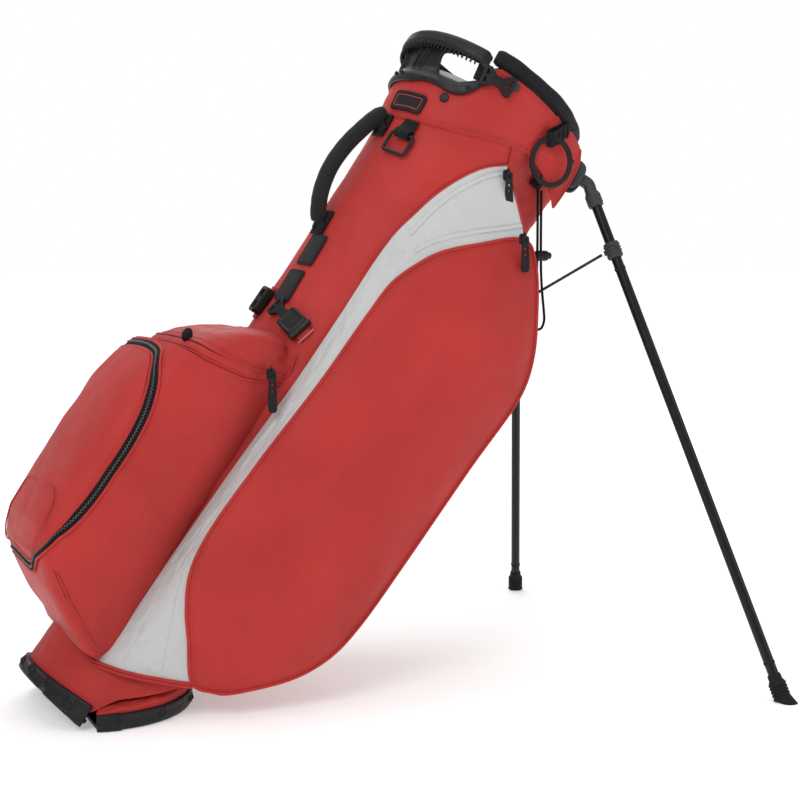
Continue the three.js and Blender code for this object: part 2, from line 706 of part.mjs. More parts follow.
// ---------------------------------------------------------------- zip pulls, hanging straight down
function zipPull(at, out, length) {
  const down = DOWN_IN_BAG.clone();
  const shape = new THREE.Shape();
  const half = 4.6;
  shape.absarc(0, 0, half, 0, Math.PI, false);
  shape.absarc(0, -length + half * 2, half, Math.PI, Math.PI * 2, false);
  const hole = new THREE.Path();
  hole.absarc(0, 0, 1.8, 0, Math.PI * 2, true);
  shape.holes.push(hole);
  const body = prism(shape, 3.2, 1, 3);
  const y = down.clone().negate();
  const z = out.clone().addScaledVector(y, -out.dot(y)).normalize();
  const x = new THREE.Vector3().crossVectors(y, z);
  return body.applyMatrix4(new THREE.Matrix4().makeBasis(x, y, z).setPosition(at));
}
const SIDEWAYS = new THREE.Vector3(0, -1, 0);
const PULLS = [
  ['pull_valuables', [42, -105.5, 795], SIDEWAYS, 46],
  ['pull_apparel', [89.6, -137, 736], SIDEWAYS, 42],
  ['pull_cooler', [-76, -112.5, 437], SIDEWAYS, 46],
];
for (const [name, at, out, length] of PULLS) {
  add(name, zipPull(new THREE.Vector3(...at), out, length), RUBBER);
}

// ---------------------------------------------------------------- elastic cord and its lock
// the cord's two runs hang side by side; points in row millimetres, down one run and up the other
const CORD = { x: 527, y: -60, top: 595.5, radius: 1.6 };
const CORD_ROUTE = [
  [0, 0], [0, -12], [0, -28], [0, -46], [0, -62], [0.2, -80], [0.6, -98], [1.6, -116],
  [3.4, -134], [5.2, -150], [5.6, -160], [2.4, -169], [-2.4, -171.4], [-7.2, -169], [-10.4, -160],
  [-10, -150], [-8.2, -134], [-6.4, -116], [-5.4, -98], [-5, -80], [-4.8, -62], [-4.8, -46],
  [-4.8, -28], [-4.8, -12], [-4.8, 0],
];
function elasticCord() {
  const points = CORD_ROUTE.map(([x, z]) => [CORD.x + x, CORD.y, CORD.top + z]);
  return bar(points, CORD.radius, 8, 50);
}
add('elastic_cord', elasticCord(), WEBBING, model);

// small webbing tab that the cord leaves, reaching out from the cuff's lower edge
function cordTab() {
  const end = new THREE.Vector3(CORD.x - 2.4, CORD.y, CORD.top + 4.5).applyMatrix4(worldToBag);
  const root = tubePoint(-36, 826, 4.3);
  return bar([root, root.clone().lerp(end, 0.5).add(new THREE.Vector3(2, -1, 0)), end], 3.6, 6, 4);
}
add('cord_tab', cordTab(), WEBBING);

// cord lock: a barrel across the two runs with a push button in its end
const LOCK = { below: 80, radius: 6.5, back: 15, ahead: 9, button: 4.2, travel: 2 };

function lockBar(from, to, radius, sides) {
  const z = CORD.top - LOCK.below;
  return bar([[CORD.x + from, CORD.y, z], [CORD.x + to, CORD.y, z]], radius, sides);
}

function cordLock() {
  const body = lockBar(-LOCK.back, LOCK.ahead, LOCK.radius, 14);
  const socket = lockBar(LOCK.ahead - LOCK.travel - 1.2, LOCK.ahead + 1, LOCK.button + 0.35, 14);
  const bores = [0.35, -5.1].map((x) => {
    const run = [[CORD.x + x, CORD.y, CORD.top - 60], [CORD.x + x, CORD.y, CORD.top - 100]];
    return bar(run, CORD.radius + 0.55, 10);
  });
  return cut(body, socket, ...bores);
}
add('cord_lock', cordLock(), BLACK, model);
const buttonFrom = LOCK.ahead - 0.8;
add('cord_lock_button', lockBar(buttonFrom, buttonFrom + 5.5, LOCK.button, 14), BLACK, model);

export default model;
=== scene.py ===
import json
import math

import bmesh
import bpy
import numpy as np
from mathutils import Matrix, Vector


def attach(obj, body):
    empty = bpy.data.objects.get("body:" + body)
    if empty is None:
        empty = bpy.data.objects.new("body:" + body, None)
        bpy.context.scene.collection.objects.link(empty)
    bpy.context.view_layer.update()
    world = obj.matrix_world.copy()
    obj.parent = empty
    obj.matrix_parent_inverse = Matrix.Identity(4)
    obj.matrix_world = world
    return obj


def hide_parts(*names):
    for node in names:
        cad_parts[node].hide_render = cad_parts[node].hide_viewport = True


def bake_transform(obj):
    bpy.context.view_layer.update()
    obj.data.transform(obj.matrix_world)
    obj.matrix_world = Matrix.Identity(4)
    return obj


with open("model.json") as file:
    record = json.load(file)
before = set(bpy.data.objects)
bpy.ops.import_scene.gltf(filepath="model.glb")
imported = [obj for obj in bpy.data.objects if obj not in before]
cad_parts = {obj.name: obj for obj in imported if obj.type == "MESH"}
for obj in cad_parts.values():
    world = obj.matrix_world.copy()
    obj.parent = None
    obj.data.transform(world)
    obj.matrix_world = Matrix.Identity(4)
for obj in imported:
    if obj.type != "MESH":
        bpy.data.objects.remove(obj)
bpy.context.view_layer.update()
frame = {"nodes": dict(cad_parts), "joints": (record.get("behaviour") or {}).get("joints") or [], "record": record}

# Golf stand bag. Soft goods are laid out in the bag's own frame, in millimetres:
#   f  forward, towards the legs     y  sideways     h  along the tube, from the base hinge plane
# and go through to_row(), which leans them over and turns them into metres.
JOINTS = {joint["name"]: joint for joint in frame["joints"]}
LEAN = math.radians(JOINTS["base_plate_tilt"]["range_deg"][1])
HINGE_X = JOINTS["base_plate_tilt"]["pos_m"][0]
AXIS_AHEAD = 0.03345
COS_LEAN, SIN_LEAN = math.cos(LEAN), math.sin(LEAN)
BAG = Matrix((
    (COS_LEAN * 0.001, 0, SIN_LEAN * 0.001, HINGE_X + AXIS_AHEAD * COS_LEAN),
    (0, 0.001, 0, 0),
    (-SIN_LEAN * 0.001, 0, COS_LEAN * 0.001, -AXIS_AHEAD * SIN_LEAN),
    (0, 0, 0, 1),
))
BAG_ARRAY = np.array(BAG)
RIGHT, LEFT = -1, 1
UP = (0.0, 0.0, 1.0)
SIDE_NAMES = {RIGHT: "right", LEFT: "left"}


def to_row(points):
    points = np.asarray(points, float)
    return points @ BAG_ARRAY[:3, :3].T + BAG_ARRAY[:3, 3]


def new_object(name, data):
    made = bpy.data.objects.new(name, data)
    bpy.context.scene.collection.objects.link(made)
    return made


def aim(thing, place, target):
    thing.location = place
    thing.rotation_mode = "QUATERNION"
    thing.rotation_quaternion = (Vector(target) - Vector(place)).to_track_quat("-Z", "Y")


# ---------------------------------------------------------------- camera
CAMERA_AT, CAMERA_TARGET = (-0.4212, -1.7387, 0.5258), (0.36275, 0, 0.33711)
CAMERA_LENS, CAMERA_SENSOR = 69.42, 36


def make_camera():
    data = bpy.data.cameras.new("camera")
    data.lens = CAMERA_LENS
    data.sensor_width = CAMERA_SENSOR
    camera = new_object("camera", data)
    aim(camera, CAMERA_AT, CAMERA_TARGET)
    bpy.context.scene.camera = camera


make_camera()


# ---------------------------------------------------------------- materials
class Nodes:
    """Short names for building one material's node tree."""

    def __init__(self, name):
        self.material = bpy.data.materials.new(name)
        self.material.use_nodes = True
        self.tree = self.material.node_tree
        self.tree.nodes.clear()
        self.output = self.tree.nodes.new("ShaderNodeOutputMaterial")
        self.shader = self.tree.nodes.new("ShaderNodeBsdfPrincipled")
        self.link(self.shader.outputs[0], self.output.inputs[0])

    def link(self, source, target):
        self.tree.links.new(source, target)

    def node(self, kind, **values):
        made = self.tree.nodes.new(kind)
        for key, value in values.items():
            setattr(made, key, value)
        return made

    def set(self, **values):
        """shader inputs by name, each from a number, a colour or another node's output"""
        for key, value in values.items():
            slot = self.shader.inputs[key.replace("_", " ")]
            if isinstance(value, bpy.types.NodeSocket):
                self.link(value, slot)
            else:
                slot.default_value = value

    def coordinates(self, uv=False):
        return self.node("ShaderNodeTexCoord").outputs["UV" if uv else "Object"]

    def math(self, operation, first, second=None):
        made = self.node("ShaderNodeMath", operation=operation)
        for slot, value in zip(made.inputs, (first, second)):
            if value is None:
                continue
            if isinstance(value, (int, float)):
                slot.default_value = value
            else:
                self.link(value, slot)
        return made.outputs[0]

    def noise(self, scale, detail=3, source=None, roughness=0.55):
        made = self.node("ShaderNodeTexNoise")
        made.inputs["Scale"].default_value = scale
        made.inputs["Detail"].default_value = detail
        made.inputs["Roughness"].default_value = roughness
        self.link(source or self.coordinates(), made.inputs["Vector"])
        return made.outputs["Fac"]

    def ramp(self, value, low, high, out_low=0.0, out_high=1.0):
        made = self.node("ShaderNodeMapRange")
        self.link(value, made.inputs["Value"])
        for key, number in (("From Min", low), ("From Max", high), ("To Min", out_low), ("To Max", out_high)):
            made.inputs[key].default_value = number
        return made.outputs["Result"]

    def mix(self, factor, first, second):
        made = self.node("ShaderNodeMix", data_type="RGBA")
        for slot, value in zip((made.inputs[0], made.inputs[6], made.inputs[7]), (factor, first, second)):
            if isinstance(value, (int, float, tuple)):
                slot.default_value = value
            else:
                self.link(value, slot)
        return made.outputs[2]

    def bump(self, layers):
        """layers: (height, strength, distance) from the coarsest to the finest"""
        normal = None
        for height, strength, distance in layers:
            made = self.node("ShaderNodeBump")
            made.inputs["Strength"].default_value = strength
            made.inputs["Distance"].default_value = distance
            self.link(height, made.inputs["Height"])
            if normal is not None:
                self.link(normal, made.inputs["Normal"])
            normal = made.outputs["Normal"]
        self.link(normal, self.shader.inputs["Normal"])

    def weave(self, period):
        """plain weave: raised threads over and under at that period in metres"""
        split = self.node("ShaderNodeSeparateXYZ")
        self.link(self.coordinates(uv=True), split.inputs[0])
        waves = []
        for axis in (0, 1):
            turned = self.math("MULTIPLY", split.outputs[axis], math.pi / period)
            waves.append(self.math("SINE", turned))
        return self.math("MULTIPLY", waves[0], waves[1])


def shade(colour, factor):
    return tuple(min(1, c * factor) for c in colour[:3]) + (1,)


def fabric(name, colour, period=0.0006, roughness=0.55, sheen=0.04, weave=0.35, crease=0.25, lift=1.12, drop=0.84):
    """Woven, coated cloth: thread relief, soft creases, broad colour drift and raised threads painted slightly lighter
    as a painted highlight.
    """
    n = Nodes(name)
    drift = n.noise(9, 4)
    fibre = n.noise(900, 2)
    threads = n.weave(period)
    worn = n.mix(n.ramp(drift, 0.3, 0.7), shade(colour, drop), shade(colour, lift))
    flecked = n.mix(n.ramp(fibre, 0.35, 0.7, 0, 0.35), worn, shade(colour, 0.78))
    # painted highlight: the colour turns lighter where the weave's threads stand highest
    threaded = n.mix(n.ramp(threads, -1, 1, 0, 0.22), flecked, shade(colour, 1.15))
    n.set(Base_Color=threaded, Roughness=n.ramp(n.noise(40, 3), 0.3, 0.7, roughness - 0.06, roughness + 0.08))
    n.set(Sheen_Weight=sheen, Sheen_Roughness=0.5, Specular_IOR_Level=0.2)
    creases = n.noise(34, 5, roughness=0.6)
    n.bump([(creases, crease, 0.004), (threads, weave, 0.00012), (fibre, 0.1, 0.0002)])
    return n.material


def webbing(name, colour, period=0.0016):
    """Ribbed strap: bold cross ribs with a finer thread along them, the ribs painted lighter as a painted highlight."""
    n = Nodes(name)
    threads = n.weave(period)
    fine = n.weave(period / 3)
    dusty = n.mix(n.ramp(n.noise(60, 4), 0.4, 0.75, 0, 0.5), shade(colour, 1), shade(colour, 1.9))
    # painted highlight: the colour turns lighter where the ribs stand highest, over the pale dust mottle
    n.set(Base_Color=n.mix(n.ramp(threads, -1, 1, 0, 0.4), dusty, shade(colour, 1.6)))
    n.set(Roughness=n.ramp(n.noise(50, 3), 0.3, 0.7, 0.72, 0.9))
    n.set(Sheen_Weight=0.03, Specular_IOR_Level=0.15)
    n.bump([(threads, 0.8, 0.0004), (fine, 0.4, 0.00012)])
    return n.material


def plastic(name, colour, roughness=0.42, grain=0.35, scuffs=0.35, grain_scale=1800, metallic=0.0):
    """Moulded plastic or rubber: fine spark grain, drifting gloss and pale scuffs on a few spots."""
    n = Nodes(name)
    mottle = n.noise(26, 4)
    spark = n.noise(grain_scale, 2)
    base = n.mix(n.ramp(mottle, 0.3, 0.7), shade(colour, 0.85), shade(colour, 1.2))
    marks = n.ramp(n.noise(70, 6, roughness=0.75), 0.66, 0.78, 0, scuffs)
    n.set(Base_Color=n.mix(marks, base, shade(colour, 2.2)))
    n.set(Roughness=n.ramp(n.noise(120, 4), 0.3, 0.7, roughness - 0.07, roughness + 0.12))
    n.set(Metallic=metallic, Specular_IOR_Level=0.27)
    n.bump([(mottle, 0.05, 0.002), (spark, grain, 0.00025)])
    return n.material


def metal(name, colour, roughness=0.3):
    """Bright metal with fine brushing, darker tarnish spots and a light scratch relief."""
    n = Nodes(name)
    stretched = n.node("ShaderNodeMapping")
    stretched.inputs["Scale"].default_value = (1, 1, 14)
    n.link(n.coordinates(), stretched.inputs["Vector"])
    brushed = n.noise(420, 3, stretched.outputs[0])
    tarnish = n.ramp(n.noise(60, 5), 0.55, 0.8, 0, 0.5)
    n.set(Base_Color=n.mix(tarnish, shade(colour, 1), shade(colour, 0.6)), Metallic=1.0)
    n.set(Roughness=n.ramp(brushed, 0.3, 0.7, roughness - 0.08, roughness + 0.12))
    n.bump([(brushed, 0.12, 0.0002)])
    return n.material


MATERIALS = {
    "shell_fabric": fabric("shell_fabric", (0.43, 0.030, 0.026)),
    "shell_thread": fabric("shell_thread", (0.48, 0.05, 0.055), period=0.0004, roughness=0.6),
    "panel_fabric": fabric("panel_fabric", (0.52, 0.53, 0.53), sheen=0.1, crease=0.35, lift=1.05, drop=0.93),
    "panel_thread": fabric("panel_thread", (0.66, 0.67, 0.67), period=0.0004),
    "lining": fabric("lining", (0.40, 0.415, 0.43), period=0.0005, roughness=0.4, sheen=0.15),
    "mesh_cloth": fabric("mesh_cloth", (0.010, 0.010, 0.012), period=0.0022, roughness=0.8, weave=1.0),
    "webbing": webbing("webbing", (0.008, 0.008, 0.009)),
    "zip_tape": webbing("zip_tape", (0.008, 0.008, 0.009), period=0.0011),
    "foam": fabric("foam", (0.013, 0.013, 0.015), period=0.0009, roughness=0.8, sheen=0.1, weave=0.7),
    "black_plastic": plastic("black_plastic", (0.008, 0.008, 0.009)),
    "graphite_plastic": plastic("graphite_plastic", (0.04, 0.04, 0.044), roughness=0.48),
    "rubber": plastic("rubber", (0.007, 0.007, 0.008), roughness=0.66, grain=0.5, grain_scale=1100),
    "leg_paint": plastic("leg_paint", (0.006, 0.006, 0.007), roughness=0.26, grain=0.08, scuffs=0.2),
    "steel": metal("steel", (0.5, 0.5, 0.51)),
    "zip_teeth": metal("zip_teeth", (0.17, 0.17, 0.18), roughness=0.42),
    "white_print": fabric("white_print", (0.78, 0.78, 0.78), roughness=0.6, crease=0.1),
}


def finish_piece(piece, material, body="root"):
    """gives a piece its material and slot and lets it ride on its body"""
    piece.data.materials.clear()
    piece.data.materials.append(MATERIALS[material])
    if body:
        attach(piece, body)
    return piece


# ---------------------------------------------------------------- the free cord
CORD_START = (0.527, -0.060, 0.5955)
CORD_RADIUS = 0.0016
CORD_ROUTE = (
    (0, 0), (0, -12), (0, -28), (0, -46), (0, -62), (0.2, -80), (0.6, -98), (1.6, -116),
    (3.4, -134), (5.2, -150), (5.6, -160), (2.4, -169), (-2.4, -171.4), (-7.2, -169), (-10.4, -160),
    (-10, -150), (-8.2, -134), (-6.4, -116), (-5.4, -98), (-5, -80), (-4.8, -62), (-4.8, -46),
    (-4.8, -28), (-4.8, -12), (-4.8, 0),
)


def catmull(points, steps, closed=False):
    """smooth curve through points, steps samples to each span"""
    p = np.asarray(points, float)
    if closed:
        p = np.vstack([p[-1], p, p[:2]])
    else:
        p = np.vstack([2 * p[0] - p[1], p, 2 * p[-1] - p[-2]])
    out = []
    for i in range(1, len(p) - 2):
        knots = [0.0]
        for a, b in zip(p[i - 1:i + 2], p[i:i + 3]):
            knots.append(knots[-1] + max(np.linalg.norm(b - a), 1e-6) ** 0.5)
        t = np.linspace(knots[1], knots[2], steps, endpoint=False)[:, None]
        a = [(knots[j + 1] - t) / (knots[j + 1] - knots[j]) * p[i - 1 + j]
             + (t - knots[j]) / (knots[j + 1] - knots[j]) * p[i + j] for j in range(3)]
        b = [(knots[j + 2] - t) / (knots[j + 2] - knots[j]) * a[j]
             + (t - knots[j]) / (knots[j + 2] - knots[j]) * a[j + 1] for j in range(2)]
        out.append((knots[2] - t) / (knots[2] - knots[1]) * b[0]
                   + (t - knots[1]) / (knots[2] - knots[1]) * b[1])
    if not closed:
        out.append(p[-2][None, :])
    return np.vstack(out)


def resample(points, count, closed=False):
    """count points at even distances along a polyline"""
    p = np.asarray(points, float)
    if closed:
        p = np.vstack([p, p[:1]])
    along = np.concatenate([[0], np.cumsum(np.linalg.norm(np.diff(p, axis=0), axis=1))])
    at = np.linspace(0, along[-1], count, endpoint=not closed)
    return np.stack([np.interp(at, along, p[:, k]) for k in range(p.shape[1])], axis=1)


def polyline_length(points):
    return float(np.linalg.norm(np.diff(np.asarray(points), axis=0), axis=1).sum())


def make_cord(pieces_on_it):
    line = catmull([(CORD_START[0] + x / 1000, CORD_START[1], CORD_START[2] + z / 1000) for x, z in CORD_ROUTE], 6)
    data = bpy.data.curves.new("elastic_cord_braid", "CURVE")
    data.dimensions = "3D"
    spline = data.splines.new("POLY")
    spline.points.add(len(line) - 1)
    for point, place in zip(spline.points, line):
        point.co = (*place, 1)
    data.bevel_depth = CORD_RADIUS
    data.bevel_resolution = 4
    data.use_fill_caps = True
    cord = finish_piece(new_object("elastic_cord_braid", data), "webbing")
    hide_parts("elastic_cord")
    round(polyline_length(line), 4)


# ---------------------------------------------------------------- mesh builders (bag millimetres)
SHARP = math.radians(42)


def new_piece(name, vertices, faces, material, body="root", uvs=None, in_row=False, sharp=SHARP):
    mesh = bpy.data.meshes.new(name)
    places = np.asarray(vertices, float) if in_row else to_row(vertices)
    mesh.from_pydata(places.tolist(), [], faces)
    if uvs is not None:
        layer = mesh.uv_layers.new(name="UVMap")
        corner = np.zeros(len(mesh.loops), int)
        mesh.loops.foreach_get("vertex_index", corner)
        layer.data.foreach_set("uv", np.asarray(uvs, float)[corner].ravel())
    mesh.validate()
    tidy = bmesh.new()
    tidy.from_mesh(mesh)
    bmesh.ops.recalc_face_normals(tidy, faces=tidy.faces)
    tidy.to_mesh(mesh)
    tidy.free()
    mesh.shade_smooth()
    if sharp:
        mesh.set_sharp_from_angle(angle=sharp)
    return finish_piece(new_object(name, mesh), material, body)


def grid_normals(grid, wrap=False):
    """unit normals of an (m, n, 3) grid; wrap joins its first axis into a ring"""
    if wrap:
        du = np.roll(grid, -1, axis=0) - np.roll(grid, 1, axis=0)
    else:
        du = np.gradient(grid, axis=0)
    dv = np.gradient(grid, axis=1)
    normal = np.cross(du, dv)
    return normal / np.maximum(np.linalg.norm(normal, axis=2, keepdims=True), 1e-9)


def grid_uv(grid):
    """distances along both directions of a grid, in metres"""
    def run(axis):
        step = np.linalg.norm(np.diff(grid, axis=axis), axis=2)
        first = np.zeros_like(step.take([0], axis=axis))
        return np.concatenate([first, np.cumsum(step, axis=axis)], axis=axis)
    return np.stack([run(0), run(1)], axis=2) / 1000


def grid_faces(m, n, wrap=False, closed=False):
    """quads of an (m, n) grid; wrap joins its first axis into a ring, closed its second"""
    return [(i * n + j, (i + 1) % m * n + j, (i + 1) % m * n + (j + 1) % n, i * n + (j + 1) % n)
            for i in range(m if wrap else m - 1) for j in range(n if closed else n - 1)]


def shell(name, outer, inner, material, wrap=False, body="root"):
    """closed shell between two (m, n, 3) grids"""
    m, n = outer.shape[:2]
    count = m * n
    vertices = np.concatenate([outer.reshape(-1, 3), inner.reshape(-1, 3)])
    uv = grid_uv(outer).reshape(-1, 2)
    faces = grid_faces(m, n, wrap)
    faces += [tuple(count + k for k in face[::-1]) for face in faces]
    edges = [(i * n + j, (i + 1) % m * n + j) for i in range(m if wrap else m - 1) for j in (0, n - 1)]
    if not wrap:
        edges += [(i * n + j, i * n + j + 1) for i in (0, m - 1) for j in range(n - 1)]
    faces += [(a, b, count + b, count + a) for a, b in edges]
    return new_piece(name, vertices, faces, material, body, np.concatenate([uv, uv]))


def sheet_shell(name, grid, thickness, material, wrap=False, body="root", away=1):
    """shell whose outer face is the grid, with that thickness behind it"""
    return shell(name, grid, grid - away * thickness * grid_normals(grid, wrap), material, wrap, body)


def tangents(path, closed=False):
    p = np.asarray(path, float)
    if closed:
        t = np.roll(p, -1, axis=0) - np.roll(p, 1, axis=0)
    else:
        t = np.gradient(p, axis=0)
    return t / np.maximum(np.linalg.norm(t, axis=1, keepdims=True), 1e-9)


def carried_normals(path, closed=False, start=(0, 0, 1)):
    """normals turned as little as possible along a path"""
    t = tangents(path, closed)
    normal = np.asarray(start, float)
    if abs(normal @ t[0]) > 0.95:
        normal = np.array((1.0, 0, 0))
    out = []
    for tangent in t:
        normal = normal - (normal @ tangent) * tangent
        normal /= np.linalg.norm(normal)
        out.append(normal)
    return np.array(out)


def round_section(radius, sides=10):
    return [(radius * math.cos(a), radius * math.sin(a)) for a in np.linspace(0, 2 * math.pi, sides, endpoint=False)]


def rounded_box(width, height, radius, steps=5, at=(0, 0)):
    """rounded rectangle, with that many points to each corner"""
    points = []
    for turn, (sx, sy) in enumerate(((1, 1), (-1, 1), (-1, -1), (1, -1))):
        for k in range(steps):
            a = math.pi / 2 * (turn + k / (steps - 1))
            points.append((sx * (width / 2 - radius) + radius * math.cos(a) + at[0],
                           sy * (height / 2 - radius) + radius * math.sin(a) + at[1]))
    return points


def band_section(width, thickness, corner=0.3, per_corner=3):
    """rounded rectangle, across x up: (across, along the normal)"""
    return rounded_box(width, thickness, min(width, thickness) * min(corner, 0.5), per_corner)


def sweep(name, path, section, material, normals=None, closed=False, body="root", scale=None):
    """section (across, up) carried along a path; up follows the normals, one for all or one for each point"""
    p = np.asarray(path, float)
    t = tangents(p, closed)
    up = carried_normals(p, closed) if normals is None else np.asarray(normals, float)
    up = up - np.sum(up * t, axis=1, keepdims=True) * t
    up /= np.maximum(np.linalg.norm(up, axis=1, keepdims=True), 1e-9)
    across = np.cross(t, up)
    s = np.asarray(section, float)
    size = np.ones(len(p)) if scale is None else scale
    rings = p[:, None] + size[:, None, None] * (s[None, :, :1] * across[:, None] + s[None, :, 1:] * up[:, None])
    n, m = len(p), len(s)
    around = np.concatenate([[0], np.cumsum(np.linalg.norm(np.diff(s, axis=0), axis=1))]) / 1000
    along = np.concatenate([[0], np.cumsum(np.linalg.norm(np.diff(p, axis=0), axis=1))]) / 1000
    uv = np.stack(np.broadcast_arrays(along[:, None], around[None, :]), axis=2).reshape(-1, 2)
    faces = grid_faces(n, m, closed, True)
    if not closed:
        faces += [tuple(range(m)), tuple(range(n * m - m, n * m))]
    return new_piece(name, rings.reshape(-1, 3), faces, material, body, uv)


def piping(name, path, radius, material="shell_fabric", closed=False):
    return sweep(name, path, round_section(radius, 8), material, closed=closed)


def dashes(name, path, normals, material, length=2.4, gap=1.3, radius=0.42, lift=0.25):
    """row of stitches lying on a surface along a path"""
    p = np.asarray(path, float)
    total = polyline_length(p)
    count = max(2, int(total / (length + gap)))
    fine = resample(np.hstack([p, np.asarray(normals, float)]), count * 4 + 1)
    vertices, faces, uvs = [], [], []
    for k in range(count):
        piece = fine[k * 4:k * 4 + 4]
        a, b = piece[0, :3], piece[-1, :3]
        way = (b - a) / max(np.linalg.norm(b - a), 1e-9)
        up = piece[1, 3:] / max(np.linalg.norm(piece[1, 3:]), 1e-9)
        across = np.cross(way, up)
        middle = (a + b) / 2 + up * lift
        start = len(vertices)
        for along, size in ((-0.5, 0.25), (-0.28, 1.0), (0.28, 1.0), (0.5, 0.25)):
            for x, y in ((1, 0), (0, 1), (-1, 0), (0, -1)):
                vertices.append(middle + way * along * length + (across * x + up * y) * radius * size)
                uvs.append((along * length / 1000, (x + y) * radius / 1000))
        for ring in range(3):
            for j in range(4):
                q = start + ring * 4
                faces.append((q + j, q + (j + 1) % 4, q + 4 + (j + 1) % 4, q + 4 + j))
        faces.append((start, start + 1, start + 2, start + 3))
        faces.append((start + 12, start + 13, start + 14, start + 15))
    return new_piece(name, np.array(vertices), faces, material, uvs=uvs, sharp=None)


def moulded(name, outlines, thickness, bevel, place, material, body="root", fine=None):
    """flat moulding from closed outlines (the first outside, then holes), rounded at its edges.
    place turns (x, y, z) rows into bag millimetres; fine, in mm, remeshes it evenly first so that it can bend"""
    data = bpy.data.curves.new(name, "CURVE")
    data.dimensions = "2D"
    data.fill_mode = "BOTH"
    data.extrude = max(thickness / 2 - bevel, 0.01)
    data.bevel_depth = bevel
    data.bevel_resolution = 2
    data.offset = -bevel
    for outline in outlines:
        spline = data.splines.new("POLY")
        spline.points.add(len(outline) - 1)
        for point, (x, y) in zip(spline.points, outline):
            point.co = (x, y, 0, 1)
        spline.use_cyclic_u = True
    mesh = evaluated(new_object(name + "_outline", data))
    bpy.data.curves.remove(data)
    if fine:
        mesh = remeshed(mesh, fine)
    clean = bmesh.new()
    clean.from_mesh(mesh)
    bmesh.ops.remove_doubles(clean, verts=clean.verts, dist=0.01)
    clean.to_mesh(mesh)
    clean.free()
    points = np.array([v.co for v in mesh.vertices], float).reshape(-1, 3)
    faces = [tuple(f.vertices) for f in mesh.polygons]
    bpy.data.meshes.remove(mesh)
    return new_piece(name, place(points), faces, material, body, points[:, :2] / 1000)


def work(outlines, thickness, bevel, place, fine=None):
    """a moulding that fuse() takes up"""
    return moulded("work", outlines, thickness, bevel, place, "black_plastic", "", fine)


def evaluated(holder):
    """the mesh that an object shows, in place of the object"""
    bpy.context.view_layer.update()
    made = bpy.data.meshes.new_from_object(holder.evaluated_get(bpy.context.evaluated_depsgraph_get()))
    bpy.data.objects.remove(holder)
    return made


def remeshed(mesh, voxel, soften_rounds=0):
    holder = new_object("remesh_work", mesh)
    modifier = holder.modifiers.new("remesh", "REMESH")
    modifier.mode = "VOXEL"
    modifier.voxel_size = voxel
    if soften_rounds:
        soften = holder.modifiers.new("soften", "SMOOTH")
        soften.factor = 0.5
        soften.iterations = soften_rounds
    return evaluated(holder)


def fuse(name, pieces, voxel, material, body="root", rounds=3):
    """one moulding out of overlapping closed pieces, with its edges softened"""
    gathered = bmesh.new()
    for piece in pieces:
        gathered.from_mesh(piece.data)
        bpy.data.objects.remove(piece)
    mesh = bpy.data.meshes.new(name)
    gathered.to_mesh(mesh)
    gathered.free()
    made = remeshed(mesh, voxel / 1000, rounds)
    made.name = name
    made.shade_smooth()
    return finish_piece(new_object(name, made), material, body)


def frame_at(at, normal, along):
    """placer whose +Z looks along the normal and whose +Y lies nearest along"""
    z = np.asarray(normal, float) / np.linalg.norm(normal)
    y = np.asarray(along, float) - (np.asarray(along, float) @ z) * z
    y /= np.linalg.norm(y)
    x = np.cross(y, z)
    basis = np.stack([x, y, z])
    return lambda points: np.asarray(points, float) @ basis + np.asarray(at, float)


def moved(place, by):
    """the same placer for work that is first moved by (x, y, z)"""
    return lambda points: place(np.asarray(points, float) + by)


def disc(radius, steps=28, at=(0, 0)):
    return [(at[0] + radius * math.cos(a), at[1] + radius * math.sin(a))
            for a in np.linspace(0, 2 * math.pi, steps, endpoint=False)]


def lathe(name, profile, place, material, body="root", steps=32, ring=False):
    """profile of (radius, height) rows turned about +Z: a ring with a bore, or closed by its ends on the axis"""
    turns = np.linspace(0, 2 * math.pi, steps, endpoint=False)
    r, z = np.array(profile, float).T
    n = len(r)
    points = np.stack([r[None] * np.cos(turns)[:, None], r[None] * np.sin(turns)[:, None],
                       np.broadcast_to(z, (steps, n))], axis=2).reshape(-1, 3)
    faces = grid_faces(steps, n, True, ring)
    if not ring:
        faces += [tuple(i * n + end for i in range(steps)) for end in (0, n - 1)]
    return new_piece(name, place(points), faces, material, body, points[:, :2] / 1000)


# ---------------------------------------------------------------- the tube's shape
TUBE = np.array((
    (0, 104, 114, 6), (40, 103, 112, 6), (130, 95, 102, 3), (220, 90, 96, 0),
    (730, 90, 96, 0), (800, 96, 99, 3), (905, 118, 111, 9), (930, 120, 113, 10),
), float)
SOFTEN = (-22, -11, 0, 11, 22)


def tube_size(h):
    """half depth, half width and centre of the tube at heights h"""
    h = np.asarray(h, float)
    return [np.mean([np.interp(h + d, TUBE[:, 0], TUBE[:, k]) for d in SOFTEN], axis=0) for k in (1, 2, 3)]


def tube_point(angle, h, off=0.0):
    """angle in degrees, 0 forward, 90 left, 180 the spine, 270 right"""
    depth, width, centre = tube_size(h)
    t = np.radians(angle)
    f = centre + (depth + off) * np.cos(t)
    y = (width + off) * np.sin(t)
    return np.stack(np.broadcast_arrays(f, y, np.asarray(h, float)), axis=-1)


def tube_normal(angle, h):
    out = tube_point(angle, h, 10) - tube_point(angle, h, 0)
    return out / np.linalg.norm(out, axis=-1, keepdims=True)


def tube_side(f, h, side, off=0.0):
    """point of the tube's side at a fore-and-aft position f"""
    depth, width, centre = tube_size(h)
    u = np.clip((f - centre) / (depth + off), -1, 1)
    y = side * (width + off) * np.sqrt(np.maximum(0, 1 - u * u))
    return np.stack(np.broadcast_arrays(f, y, np.asarray(h, float)), axis=-1)


def lower_edge(u):
    return 34 + np.maximum(0, 6 + 100 * u + 38) * 0.76


def smoothstep(t):
    t = np.clip(t, 0, 1)
    return t * t * (3 - 2 * t)


SEAM_REAR, SEAM_FRONT, CUFF_TOP = 790, 846, 893


def cuff_seam(u):
    return SEAM_REAR + (SEAM_FRONT - SEAM_REAR) * smoothstep((u + 1) / 2)


